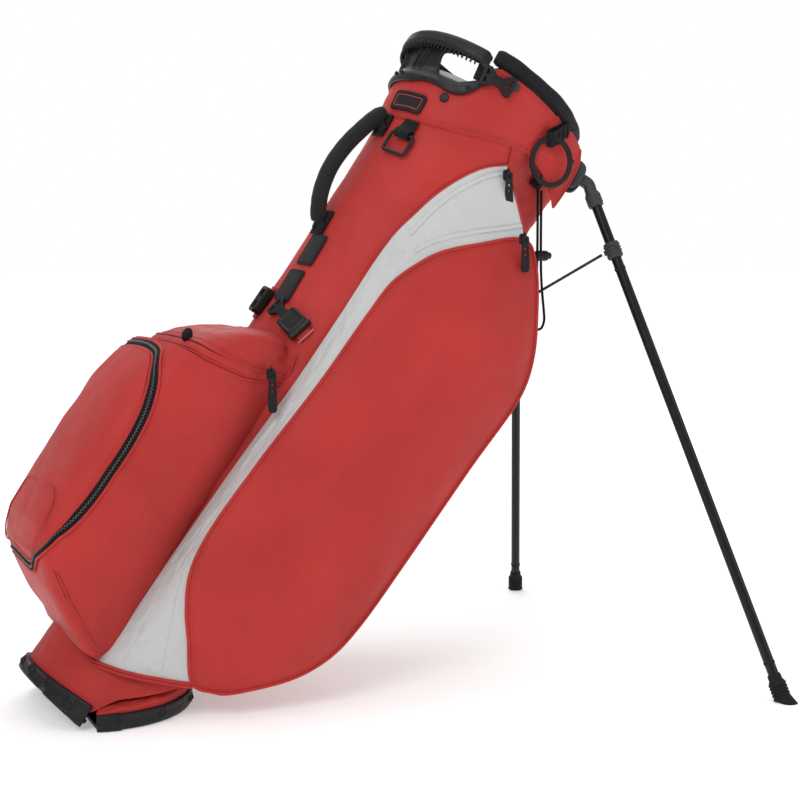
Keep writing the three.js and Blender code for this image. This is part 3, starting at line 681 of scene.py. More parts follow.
def ripples(a, b, seed, count=7, low=1.0, high=4.0):
    """smooth pseudo-random waves over two surface directions, about -1 to 1"""
    rng = np.random.default_rng(seed)
    total = np.zeros(np.broadcast(a, b).shape)
    for _ in range(count):
        ka, kb = rng.uniform(low, high, 2) * rng.choice((-1, 1), 2)
        total += np.sin(2 * math.pi * (ka * a + kb * b) + rng.uniform(0, 2 * math.pi))
    return total / count ** 0.5 / 1.6


class Skin:
    """a surface sampled once on a regular grid, so that trim can be laid on it"""

    def __init__(self, point, a_values, b_values, outward=1):
        self.a, self.b = np.asarray(a_values, float), np.asarray(b_values, float)
        self.grid = point(*np.meshgrid(self.a, self.b, indexing="ij"))
        self.normals = outward * grid_normals(self.grid)

    def _blend(self, table, a, b):
        i = np.clip((np.asarray(a, float) - self.a[0]) / (self.a[1] - self.a[0]), 0, len(self.a) - 1.001)
        j = np.clip((np.asarray(b, float) - self.b[0]) / (self.b[1] - self.b[0]), 0, len(self.b) - 1.001)
        i0, j0 = i.astype(int), j.astype(int)
        s, t = (i - i0)[..., None], (j - j0)[..., None]
        return ((table[i0, j0] * (1 - s) + table[i0 + 1, j0] * s) * (1 - t)
                + (table[i0, j0 + 1] * (1 - s) + table[i0 + 1, j0 + 1] * s) * t)

    def normal(self, a, b):
        n = self._blend(self.normals, a, b)
        return n / np.linalg.norm(n, axis=-1, keepdims=True)

    def at(self, a, b, off=0.0):
        return self._blend(self.grid, a, b) + np.asarray(off, float)[..., None] * self.normal(a, b)

    def line(self, points, off=0.0, steps=8, closed=False):
        """smooth line through (a, b) points on the surface: its places and its normals"""
        a, b = catmull(points, steps, closed).T
        return self.at(a, b, off), self.normal(a, b)


# ---------------------------------------------------------------- tube fabric, cuff, rim and lining
TUCK_REAR = 16


def make_tube_fabric():
    angle, v = np.meshgrid(np.linspace(0, 360, 168, endpoint=False), np.linspace(0, 1, 130), indexing="ij")
    t = np.radians(angle)
    low = lower_edge(np.cos(t)) - TUCK_REAR * smoothstep((-np.cos(t) - 0.25) / 0.25)
    h = low + (cuff_seam(np.cos(t)) + 7 - low) * v
    soft = ripples(np.cos(t) * 0.7, v * 2.2, 5) + 0.6 * ripples(np.sin(t) * 1.3, v * 4.5 + 0.4 * np.cos(t), 8)
    tucked = smoothstep((1 - v) * 14)
    grid = tube_point(angle, h, 0.9 * soft * tucked - 0.2)
    piece = sheet_shell("tube_fabric", grid, 1.6, "shell_fabric", wrap=True, away=grid_side(grid))
    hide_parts("wall_front", "wall_left", "wall_spine", "wall_right")


def grid_side(grid):
    """+1 when a ring grid's normals point away from its middle"""
    middle = grid.reshape(-1, 3).mean(axis=0)
    normal = grid_normals(grid, True)
    out = grid - middle
    out[..., 2] = 0
    return 1 if np.sum(normal * out) > 0 else -1


def cuff_top(u):
    return 842 + (CUFF_TOP - 842) * smoothstep((u + 0.575) / 0.2)


def make_cuff():
    angle, v = np.meshgrid(np.linspace(0, 360, 180, endpoint=False), np.linspace(0, 1, 26), indexing="ij")
    t = np.radians(angle)
    u = np.cos(t)
    low, high = cuff_seam(u), cuff_top(u)
    h = low + (high - low) * v
    rolled = 1 - (1 - np.clip(v / 0.05, 0, 1)) ** 2
    pillow = 0.7 * np.sin(math.pi * v) + 0.35 * ripples(np.sin(t) * 1.5, v * 1.5 + np.cos(t), 21)
    outer = tube_point(angle, h, 0.9 + 2.0 * rolled + pillow)
    inner = tube_point(angle, h, 0.1)
    piece = shell("cuff_cover_fabric", outer, inner, "shell_fabric", wrap=True)
    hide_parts("cuff_cover")
    low = np.linspace(-172, 172, 260)
    seam = cuff_seam(np.cos(np.radians(low)))
    top = np.linspace(-118, 118, 200)
    for word, turns, row, off in (("lower", low, seam + 3.6, 3.7), ("second", low, seam + 7.0, 3.7),
                                  ("top", top, np.full(len(top), CUFF_TOP - 4.5), 3.3)):
        dashes(f"cuff_stitch_{word}", tube_point(turns, row, off), tube_normal(turns, row), "shell_thread")


def make_rim():
    turns = np.linspace(-119, 119, 220)
    height = 903.8 + 0.5 * np.sin(np.radians(turns) * 9)
    path = tube_point(turns, height, -1.0)
    fat = 1 + 0.02 * np.sin(np.radians(turns) * 23) - 0.25 * np.exp(-((119 - np.abs(turns)) / 1.6) ** 2)
    piece = sweep("rim_roll", path, band_section(15.5, 20.5, 0.46, 6), "mesh_cloth", normals=UP, scale=fat)
    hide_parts("rim_pad")
    for name, off in (("rim_seam_outer", 7.0), ("rim_seam_inner", -9.0)):
        piping(name, tube_point(turns[4:-4], 896.2, off), 0.9, "webbing")


DIVIDER_H = 862
LINING_LOW = 770


def make_lining():
    angle, v = np.meshgrid(np.linspace(0, 360, 144, endpoint=False), np.linspace(0, 1, 30), indexing="ij")
    t = np.radians(angle)
    top = np.minimum(cuff_top(np.cos(t)) + 20, 896)
    h = LINING_LOW + (top - LINING_LOW) * v
    grid = tube_point(angle, h, -9.6 + 0.8 * ripples(np.cos(t) * 1.5, v * 2 + np.sin(t), 33))
    piece = sheet_shell("cuff_lining_fabric", grid, 1.2, "lining", wrap=True, away=grid_side(grid))
    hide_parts("cuff_lining")
    # rolled edge under the handle's windows
    turns = np.linspace(122, 238, 80)
    edge = np.minimum(cuff_top(np.cos(np.radians(turns))) + 18, CUFF_TOP)
    piping("lining_edge_roll", tube_point(turns, edge, -8.0), 4.2, "lining")


def make_divider():
    for word, start, end, count in (("across", (-12, -97), (-12, 97), 60), ("front", (-6.2, 0), (108, 0), 40),
                                    ("rear", (-17.8, 0), (-91, 0), 40)):
        path = np.linspace((*start, DIVIDER_H), (*end, DIVIDER_H), count)
        piece = sweep(f"divider_{word}", path, band_section(11.5, 53, 0.45, 6), "mesh_cloth", normals=UP)
    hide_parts("divider")


# ---------------------------------------------------------------- side pockets
# outline of the pocket's face, (f, h), from its top tip down the rear edge and back up the front
POCKET_REAR = np.array((
    (100, 742), (50, 702), (13, 664), (-2, 639), (-17, 603), (-22, 556), (-27, 464),
    (-39, 340), (-43, 244), (-36, 203), (-17, 169), (5, 142), (42, 101),
), float)
POCKET_FRONT = np.array((
    (70, 108), (100, 131), (139, 171), (160, 212), (169, 255), (176, 346), (185, 481),
    (193, 571), (191, 600), (182, 630), (160, 672), (126, 722),
), float)
POCKET_EDGE = np.array(((97, 112), (135, 118), (205, 124), (340, 126), (560, 125), (645, 123), (742, 116)), float)
POCKET_BULGE = 30
WING_FROM, SPLAY = 62, 9


def pocket_front(h):
    return np.interp(h, POCKET_FRONT[:, 1], POCKET_FRONT[:, 0])


def pocket_rear(h):
    return np.interp(h, POCKET_REAR[::-1, 1], POCKET_REAR[::-1, 0])


def wing_share(f, h):
    """0 at the wing's root, 1 at the pocket's front edge"""
    return np.clip((f - WING_FROM) / np.maximum(pocket_front(h) - WING_FROM, 1), 0, 1)


def pocket_edge(f, h):
    """|y| of the pocket's seam, which stands wider towards the front"""
    return np.interp(h, POCKET_EDGE[:, 0], POCKET_EDGE[:, 1]) + SPLAY * wing_share(f, h)


def pocket_back(f, h):
    """|y| of the pocket's inner face: round the tube, then straight out along the wing"""
    near = tube_side(np.minimum(f, WING_FROM), h, 1)[..., 1] + 16
    return near + (pocket_edge(f, h) - 6 - near) * wing_share(f, h)


def pocket_outline(count):
    return resample(catmull(np.vstack([POCKET_REAR, POCKET_FRONT]), 12, closed=True), count, closed=True)


def faces_out(outline, centres, across):
    """(count, across, 2) grid from the centres out to the outline, and its shares of the way"""
    r = np.linspace(0, 1, across)[None, :, None]
    flat = centres[:, None] + (outline - centres)[:, None] * r
    return flat, np.broadcast_to(r[..., 0], flat.shape[:2])


def pocket_grid(around, across):
    """grid of the pocket's crowned face: round its outline, then from its middle line out to the edge"""
    edge = pocket_outline(around)
    middle_h = np.clip(edge[:, 1], 235, 590)
    middle_h = 412 + (middle_h - 412) * 0.96
    middle_f = (pocket_front(middle_h) + pocket_rear(middle_h)) / 2
    flat, r = faces_out(edge, np.stack([middle_f, middle_h], axis=1), across)
    return flat[..., 0], flat[..., 1], r


def pocket_crown(f, h, r):
    fall = 1 - r ** 2.7
    drape = 1.5 * ripples(f / 260, h / 420, 4) * np.clip(fall * 2, 0, 1)
    return POCKET_BULGE * fall * np.interp(h, (100, 260, 620, 742), (0.8, 1.0, 0.95, 0.7)) + drape


WELD = 0.0002


def pillow(name, outer, inner, flat):
    """closed cushion of a crowned face and its back, which meet round the rim; flat gives the UVs"""
    whole = np.concatenate([outer, inner[:, ::-1]], axis=1)
    uv = np.concatenate([flat, flat[:, ::-1]], axis=1).reshape(-1, 2) / 1000
    piece = new_piece(name, whole.reshape(-1, 3), grid_faces(*whole.shape[:2], True), "shell_fabric", uvs=uv)
    weld = bmesh.new()
    weld.from_mesh(piece.data)
    bmesh.ops.remove_doubles(weld, verts=weld.verts, dist=WELD)
    bmesh.ops.recalc_face_normals(weld, faces=weld.faces)
    weld.to_mesh(piece.data)
    weld.free()
    piece.data.shade_smooth()
    return piece


def make_side_pocket(side):
    word = SIDE_NAMES[side]
    f, h, r = pocket_grid(260, 26)
    outer = np.stack([f, side * (pocket_edge(f, h) + pocket_crown(f, h, r)), h], axis=2)
    inner = np.stack([f, side * pocket_back(f, h), h], axis=2)
    piece = pillow(f"side_pocket_face_{word}", outer, inner, np.stack([f, h], axis=2))
    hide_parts(f"side_pocket_{word}")
    f, h = pocket_outline(300).T
    edge = np.stack([f, side * (pocket_edge(f, h) + 0.6), h], axis=1)
    piping(f"side_pocket_piping_{word}", edge, 2.1, closed=True)
    dashes(f"side_pocket_stitch_{word}", *pocket_inset(side, 6.0), "shell_thread")


def pocket_inset(side, distance):
    """line on the pocket's face a distance inside its edge, with normals"""
    f, h, r = pocket_grid(300, 60)
    grid = np.stack([f, side * (pocket_edge(f, h) + pocket_crown(f, h, r)), h], axis=2)
    last = grid.shape[1] - 1
    share = np.clip(1 - distance / np.linalg.norm(grid[:, -1] - grid[:, 0], axis=1), 0, 1) * last
    low = share.astype(int)
    t = (share - low)[:, None]
    rows = np.arange(len(grid))
    line = grid[rows, low] * (1 - t) + grid[rows, np.minimum(low + 1, last)] * t
    normal = grid_normals(grid, True)[rows, low]
    normal *= np.sign(normal[:, 1:2]) * side
    return np.vstack([line, line[:1]]), np.vstack([normal, normal[:1]])


# grey panel between the tube and the side pocket: heights of its two edges, paired from top to bottom
PANEL_PAIRS = np.array((
    (811, 743), (797, 733), (778, 718), (752, 700), (736, 690), (708, 674), (672, 655), (633, 627),
    (580, 580), (539, 539), (452, 452), (340, 340), (266, 262), (189, 192), (119, 140), (62, 98),
), float)
PANEL_REAR = catmull(np.array((
    (-64, 62), (-56, 119), (-52, 189), (-49, 266), (-46, 340), (-40, 452), (-38, 539), (-37, 633),
    (-34, 665), (-28, 691), (-20, 723), (-5, 759), (14, 788), (40, 811),
), float), 6)
PANEL_SAG = 5


def panel_skin(side):
    t_knots = np.linspace(0, 1, len(PANEL_PAIRS))

    def point(s, t):
        rear_h, front_h = [np.mean([np.interp(np.clip(t + d, 0, 1), t_knots, PANEL_PAIRS[:, k])
                                    for d in (-0.02, 0, 0.02)], axis=0) for k in (0, 1)]
        rear = tube_side(np.interp(rear_h, PANEL_REAR[:, 1], PANEL_REAR[:, 0]), rear_h, side, 1.6)
        rear_f = pocket_rear(front_h)
        front = np.stack([rear_f, side * pocket_edge(rear_f, front_h), front_h], axis=-1)
        base = rear + (front - rear) * s[..., None]
        base[..., 2] -= PANEL_SAG * np.sin(math.pi * s) * smoothstep((t - 0.9) / 0.1)
        span = np.linalg.norm(front - rear, axis=-1)
        pleats = np.sin(t * 2 * math.pi * 19 + 2.2 * ripples(s, t * 6, 3)) * smoothstep((t - 0.32) * 6)
        soft = ripples(s * 0.8 + t, t * 5, 14, low=0.6, high=2.0)
        crown = np.interp(t, (0, 0.12, 0.3, 0.84, 0.93), (0.008, 0.03, 0.085, 0.085, 0.17))
        lift = np.sin(math.pi * s) * (crown * span + 1.1 * pleats + 1.2 * soft)
        away = np.stack([-0.62 + 0 * s, side * 0.78 + 0 * s, 0 * s], axis=-1)
        return base + lift[..., None] * away

    return Skin(point, np.linspace(0, 1, 41), np.linspace(0, 1, 321))


def make_side_panel(side):
    word = SIDE_NAMES[side]
    skin = panel_skin(side)
    skin.normals *= np.sign(skin.normals[..., 1].mean()) * side
    piece = shell(f"side_panel_fabric_{word}", skin.grid, skin.grid - 1.6 * skin.normals, "panel_fabric")
    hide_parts(f"side_panel_{word}")
    t = np.linspace(0, 1, 260)
    piping(f"side_panel_edge_{word}", skin.at(0 * t, t), 1.3)
    s = np.linspace(0, 1, 60)
    for number, (drop, radius) in enumerate(((0.0, 1.9), (3.8, 1.7))):
        piping(f"side_panel_hem_{number + 1}_{word}", skin.at(s, 0 * s + 1, 1.0) - (0, 0, drop), radius)
    corner = tube_side(np.array((40.0, 33, 26)), np.array((811.0, 823, 835)), side, 1.6)
    piping(f"side_panel_corner_{word}", catmull(corner, 8), 1.4)
    s = np.linspace(0, 1, 40)
    piping(f"side_panel_top_{word}", skin.at(s, 0 * s), 1.5)
    for number, path in enumerate((
        ((0.10, 0.02), (0.13, 0.12), (0.2, 0.3), (0.3, 0.4)),
        ((0.80, 0.01), (0.82, 0.15), (0.78, 0.3), (0.70, 0.42)),
    )):
        line, normal = skin.line(path, 0.4, 24)
        sweep(f"side_panel_zip_{number + 1}_{word}", line, band_section(5.0, 1.6, 0.45), "panel_fabric", normals=normal)
        for edge, shift in (("inner", -0.035), ("outer", 0.035)):
            beside = skin.line([(s + shift, t) for s, t in path], 0.5, 24)
            dashes(f"side_panel_stitch_{number + 1}_{edge}_{word}", *beside, "panel_thread")
    for number, s in enumerate((0.3, 0.7)):
        path = [(s + 0.04 * math.sin(t * 9), t) for t in np.linspace(0.76, 0.985, 9)]
        dashes(f"side_panel_lower_stitch_{number + 1}_{word}", *skin.line(path, 0.3, 16), "panel_thread")


# ---------------------------------------------------------------- ball pocket and cooler pocket
BALL = np.array((
    (70, -84, 96), (80, -98, 101), (90, -124, 106), (112, -160, 109), (135, -183, 110), (165, -193, 110),
    (250, -196, 111), (340, -195, 110), (385, -190, 108), (412, -183, 106),
), float)
COOLER = np.array((
    (404, -168, 104), (418, -164, 103), (440, -148, 100), (462, -124, 93), (476, -104, 84), (484, -92, 72),
), float)
POCKET_ROOT = -50
LID_LINE = np.array(((-198, 407), (-149, 408), (-100, 418), (-59, 438), (-40, 446)), float)
# one half of a spine pocket's section: share of its depth, and how far inside its half width
HALF_SECTION = ((0.0, 24), (0.16, 14), (0.36, 4), (0.58, -1), (0.76, -1), (0.88, 3), (0.955, 13), (0.99, 30),
                (1.015, 60))


def spine_section(rows, h):
    """smooth section of a spine pocket at height h: (f, y) points from the right root round to the left"""
    face, half = (np.interp(h, rows[:, 0], rows[:, k]) for k in (1, 2))
    depth = POCKET_ROOT - face
    root = tube_side(POCKET_ROOT, h, 1)[1]
    right = [(POCKET_ROOT - depth * share, -(half - inside if share else root - 1)) for share, inside in HALF_SECTION]
    right.append((face - 0.03 * depth, 0))
    return catmull(np.array(right + [(f, -y) for f, y in right[-2::-1]]), 10)


def spine_skin(rows, low, high, step=3.0, reach=250):
    """skin of a spine pocket over (distance round from its middle, height)"""
    heights = np.arange(low, high + step / 2, step)
    around = np.arange(-reach, reach + 0.1, step)
    lines = []
    for h in heights:
        line = spine_section(rows, h)
        along = np.concatenate([[0], np.cumsum(np.linalg.norm(np.diff(line, axis=0), axis=1))])
        along -= along[-1] / 2
        lines.append(np.stack([np.interp(around, along, line[:, k]) for k in (0, 1)], axis=1))
    table = np.array(lines)

    def point(a, b):
        i = np.round((a + reach) / step).astype(int)
        j = np.round((b - low) / step).astype(int)
        return np.concatenate([table[j, i], b[..., None]], axis=-1)

    skin = Skin(point, around, heights)
    if skin.normals[len(around) // 2, len(heights) // 2, 0] > 0:
        skin.normals *= -1
    return skin


def lid_height(f):
    return np.interp(f, LID_LINE[:, 0], LID_LINE[:, 1])


def backward_normals(grid):
    """normals of a pocket's grid that point away from the spine"""
    normal = grid_normals(grid)
    return -normal if normal[grid.shape[0] // 2, 15, 0] > 0 else normal


BALL_LOW, BALL_TOP = 72, 408


def make_ball_pocket():
    rings, around = 84, 150
    grid = []
    for share in np.linspace(0, 1, rings):
        h = BALL_LOW + (BALL_TOP - BALL_LOW) * share
        line = resample(spine_section(BALL, h), around)
        rise = (lid_height(line[:, 0]) - BALL_TOP) * smoothstep((share - 0.55) / 0.45)
        grid.append(np.column_stack([line, h + rise]))
    # the top closes inwards under the lid
    for share in np.linspace(0.15, 1, 8):
        rows = np.array([(h, -184 + 30 * share, 106 - 12 * share) for h in (300, 500)])
        line = resample(spine_section(rows, BALL_TOP), around)
        grid.append(np.column_stack([line, lid_height(line[:, 0]) + 3.5 * math.sin(share * math.pi / 2)]))
    grid = np.array(grid).transpose(1, 0, 2)
    normal = backward_normals(grid)
    s, t = np.meshgrid(np.linspace(-1, 1, around), np.clip(np.arange(grid.shape[1]) / (rings - 1), 0, 1), indexing="ij")
    crease = ripples(s * 1.4, t * 2.0, 17) * np.sin(math.pi * t) ** 0.5
    outer = grid + crease[..., None] * normal
    piece = shell("ball_pocket_shell", outer, outer - 2.0 * normal, "shell_fabric")
    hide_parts("ball_pocket")


def make_ball_door():
    skin = spine_skin(BALL, 75, 411)
    w = 114
    outline = ((-w + 2, 305), (-w, 260), (-w + 3, 205), (-w + 9, 170), (-w + 22, 146), (-w + 42, 134), (-60, 130),
               (0, 130), (60, 130), (92, 134), (104, 150), (108, 200), (109, 260), (108, 330), (103, 368),
               (90, 384), (60, 388), (0, 389), (-40, 388), (-w + 44, 380), (-w + 24, 362), (-w + 9, 338))
    edge = resample(catmull(outline, 10, closed=True), 280, closed=True)
    middle = np.stack([np.full(len(edge), -8.0), np.clip(edge[:, 1], 205, 315)], axis=1)
    flat, ring = faces_out(edge, middle, 30)
    a, b = flat[..., 0], flat[..., 1]
    puff = 2.2 + 7.5 * (1 - ring ** 3.2) + 0.9 * ripples(a / 220, b / 200, 9) * (1 - ring ** 4)
    pillow("ball_pocket_door", skin.at(a, b, puff), skin.at(a, b, 0.3), flat)
    piping("ball_door_piping", skin.at(*edge.T, 1.8), 1.7, closed=True)
    # the zip runs from the far top corner round the near side to the far bottom corner
    zip_path = ((70, 396), (0, 397), (-38, 396), (-w + 40, 389), (-w + 17, 369), (-w + 1, 341), (-w - 6, 306),
                (-w - 8, 258), (-w - 4, 206), (-w + 5, 172), (-w + 22, 144), (-w + 46, 128), (-58, 122),
                (0, 122), (70, 122))
    centre, normal = skin.line(zip_path, 1.0, 14)
    tape = sweep("ball_zip_tape", centre, band_section(9.6, 2.0, 0.45), "zip_tape", normals=normal)
    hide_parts("ball_zip_right")
    make_teeth("ball_zip_teeth", centre, normal, 2.0, 2.6)
    across = np.cross(tangents(centre), normal)
    for name, shift in (("ball_zip_piping_outer", 6.3), ("ball_zip_piping_inner", -6.3)):
        piping(name, centre + shift * across, 1.5)
    # double seam from the zip's low corner down to the pocket's foot
    for number, shift in enumerate((0, 5)):
        foot = ((-w + 2 - shift, 130), (-w - 4 - shift, 118), (-w - 9 - shift, 104), (-w - 11 - shift, 92),
                (-w - 8 - shift, 81))
        piping(f"ball_foot_seam_{number + 1}", skin.line(foot, 1.2, 10)[0], 1.5)
    # shaped reinforcing patch on the door's low corner
    patch = ((-18, 138), (-66, 138), (-84, 146), (-88, 172), (-80, 196), (-54, 204), (-18, 202), (18, 202), (44, 196),
             (50, 172), (46, 146), (28, 138))
    dashes("ball_door_patch_stitch", *skin.line(patch, 9.6, 10, closed=True), "shell_thread")
    wider = [(a * 1.04 + 0.8, 170 + (b - 170) * 1.06) for a, b in patch]
    piping("ball_door_patch_edge", skin.line(wider, 9.2, 10, closed=True)[0], 0.9, closed=True)


def make_teeth(name, path, normals, pitch, width):
    """zip teeth: alternate small blocks along a path"""
    count = int(polyline_length(path) / pitch)
    fine = resample(np.hstack([path, normals]), count)
    way = tangents(fine[:, :3])
    vertices, faces, uvs = [], [], []
    for k in range(count):
        at, up = fine[k, :3], fine[k, 3:] / np.linalg.norm(fine[k, 3:])
        across = np.cross(way[k], up)
        middle = at + up * 1.3 + across * (0.5 if k % 2 else -0.5)
        start = len(vertices)
        for x, y, z in ((-1, -1, 0), (1, -1, 0), (1, 1, 0), (-1, 1, 0),
                        (-0.7, -0.6, 1), (0.7, -0.6, 1), (0.7, 0.6, 1), (-0.7, 0.6, 1)):
            vertices.append(middle + across * x * width / 2 * 0.8 + way[k] * y * pitch * 0.36 + up * z * 0.9)
            uvs.append((x / 1000, y / 1000))
        for face in ((0, 1, 2, 3), (4, 5, 6, 7), (0, 1, 5, 4), (1, 2, 6, 5), (2, 3, 7, 6), (3, 0, 4, 7)):
            faces.append(tuple(start + q for q in face))
    return new_piece(name, np.array(vertices), faces, "zip_teeth", uvs=uvs, sharp=None)


LID_LOW, LID_TOP = 404, 484


def make_cooler_pocket():
    v = np.linspace(0, 1, 40)
    around = 130
    grid = []
    for share in v:
        h = LID_LOW + (LID_TOP - LID_LOW) * share
        line = resample(spine_section(COOLER, h), around)
        rise = (lid_height(line[:, 0]) - LID_LOW) * (1 - smoothstep(share / 0.9))
        top = 6 * share * np.interp(line[:, 0], (-110, -50), (0, -1))
        grid.append(np.column_stack([line, h + rise * 0.9 + top]))
    grid = np.array(grid).transpose(1, 0, 2)
    normal = backward_normals(grid)
    s, t = np.meshgrid(np.linspace(-1, 1, around), v, indexing="ij")
    free = smoothstep((t - 0.3) / 0.3)
    puff = 2.2 * np.sin(math.pi * t) ** 0.7 + 0.9 * ripples(s * 1.2, t * 0.9, 27) * free
    outer = grid + puff[..., None] * normal
    piece = shell("cooler_pocket_lid", outer, outer - 2.0 * normal, "shell_fabric")
    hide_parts("cooler_pocket")

    def row(number, off):
        return outer[:, number] + off * normal[:, number]

    for word, number, radius in (("lower", 0, 1.8), ("second", 2, 1.5), ("upper", 8, 1.6)):
        piping(f"cooler_piping_{word}", row(number, 0.5), radius)
    sweep("cooler_zip_cover", row(5, 0.3), band_section(8.5, 1.8, 0.45), "shell_fabric", normals=normal[:, 5])
    piping("cooler_zip_slit", row(7, -0.3), 0.9, "zip_tape")
    piping("cooler_piping_top", row(-1, 0.2), 1.5)
    for word, column in (("right", 0), ("left", -1)):
        piping(f"cooler_piping_{word}", outer[column] + 0.8 * normal[column], 1.7)
    dashes("cooler_stitch", row(11, 0.2), normal[:, 11], "shell_thread")


LIGHTS_TARGET = (0.3, 0, 0.35)
LIGHTS = (  # name, place, width, power
    ("key", (-2.2, -2.4, 3.0), 2.2, 62),
    ("fill", (2.8, -2.6, 1.4), 2.5, 16),
    ("top", (0.2, 0.4, 3.4), 2.6, 34),
    ("back", (1.6, 2.8, 2.2), 2.2, 26),
)
FLOOR_GLOW, BACKDROP_GLOW = (0.34, 0.66), (0.48, 1.0)


def make_stage():
    floor = bpy.data.meshes.new("floor")
    size, z = 30, -0.0002
    floor.from_pydata([(-size, -size, z), (size, -size, z), (size, size, z), (-size, size, z)], [], [(0, 1, 2, 3)])
    piece = new_object("floor", floor)
    n = Nodes("studio_floor")
    n.set(Base_Color=n.mix(n.ramp(n.noise(0.6, 2), 0.3, 0.7), (0.86, 0.86, 0.86, 1), (0.89, 0.89, 0.89, 1)))
    n.set(Roughness=0.9, Specular_IOR_Level=0.1, Emission_Color=(1, 1, 1, 1))
    # the floor glows a little more away from the object, so that it melts into the backdrop
    reach = n.node("ShaderNodeVectorMath", operation="LENGTH")
    n.link(n.coordinates(), reach.inputs[0])
    n.set(Emission_Strength=n.ramp(reach.outputs["Value"], 0.8, 2.4, *FLOOR_GLOW))
    floor.materials.append(n.material)
    world = bpy.data.worlds.new("studio")
    bpy.context.scene.world = world
    world.use_nodes = True
    tree = world.node_tree
    background = tree.nodes["Background"]
    background.inputs[0].default_value = (1, 1, 1, 1)
    seen = tree.nodes.new("ShaderNodeLightPath")
    strength = tree.nodes.new("ShaderNodeMapRange")
    strength.inputs["To Min"].default_value, strength.inputs["To Max"].default_value = BACKDROP_GLOW
    tree.links.new(seen.outputs["Is Camera Ray"], strength.inputs["Value"])
    tree.links.new(strength.outputs["Result"], background.inputs[1])
    for name, place, size, power in LIGHTS:
        data = bpy.data.lights.new(name, "AREA")
        data.shape = "DISK"
        data.size = size
        data.energy = power
        aim(new_object(name, data), place, LIGHTS_TARGET)
    bpy.context.scene.view_settings.view_transform = "Standard"


# ---------------------------------------------------------------- moulded hardware
def on_tube(angle, h, off, turn=0.0):
    """placer that wraps flat work on the tube: x round the bag towards larger angles, y up it, z outwards"""
    depth, width, _ = (float(v) for v in tube_size(h))
    t = math.radians(angle)
    radius = math.hypot(width * math.cos(t), depth * math.sin(t))
    c, s = math.cos(math.radians(turn)), math.sin(math.radians(turn))

    def place(points):
        p = np.asarray(points, float)
        x, y = c * p[:, 0] - s * p[:, 1], s * p[:, 0] + c * p[:, 1]
        return tube_point(angle + np.degrees(x / radius), h + y, off + p[:, 2])

    return place


def flipped(place, side):
    """the same placer on the bag's right side, or mirrored to its left"""
    return place if side == RIGHT else (lambda points: place(points) * (1, -1, 1))


def smooth_outline(points, steps=6):
    return catmull(points, steps, closed=True)[:, :2]


def pan_screw(name, place, radius=3.4, body="root"):
    """low domed screw head with a crossed recess ring"""
    profile = ((0, -1.2), (radius, -1.2), (radius, 0.3), (radius * 0.9, 1.0), (radius * 0.6, 1.5),
               (radius * 0.42, 1.55), (radius * 0.36, 0.8), (0, 0.7))
    return lathe(name, profile, place, "black_plastic", body, steps=28)


def rivet(name, place, radius, material):
    """snap cap: rolled rim round a shallow dish with a raised middle"""
    profile = ((0, -1.5), (radius, -1.5), (radius * 1.02, 0.2), (radius * 0.94, 1.0), (radius * 0.8, 1.25),
               (radius * 0.66, 0.9), (radius * 0.5, 0.75), (radius * 0.3, 1.0), (0, 1.1))
    return lathe(name, profile, place, material, steps=36)


def stitch(name, rows, place, material, rise=4, **sizes):
    """row of stitches on flat work"""
    line = place(rows)
    dashes(name, line, place(rows + (0, 0, rise)) - line, material, **sizes)


def on_edge(outline, count, z):
    """count points round an outline at height z"""
    return np.column_stack([resample(np.array(outline), count, closed=True), np.full(count, z)])


def stitched_box(name, half_x, half_y, place, material):
    """square of stitches with a cross in it, on a webbing end"""
    corners = [(-half_x, -half_y, 0), (half_x, -half_y, 0), (half_x, half_y, 0), (-half_x, half_y, 0),
               (-half_x, -half_y, 0), (half_x, half_y, 0)]
    path = np.concatenate([np.linspace(a, b, 10, endpoint=False) for a, b in zip(corners, corners[1:])])
    stitch(name, path, place, material, rise=5, length=1.9, gap=0.9, radius=0.4)


# ---------------------------------------------------------------- grab handle, badge, snaps and hood buckle
HANDLE_FINS = 40
HANDLE_FROM, HANDLE_TO = 119.6, 240.4
NECK = 9


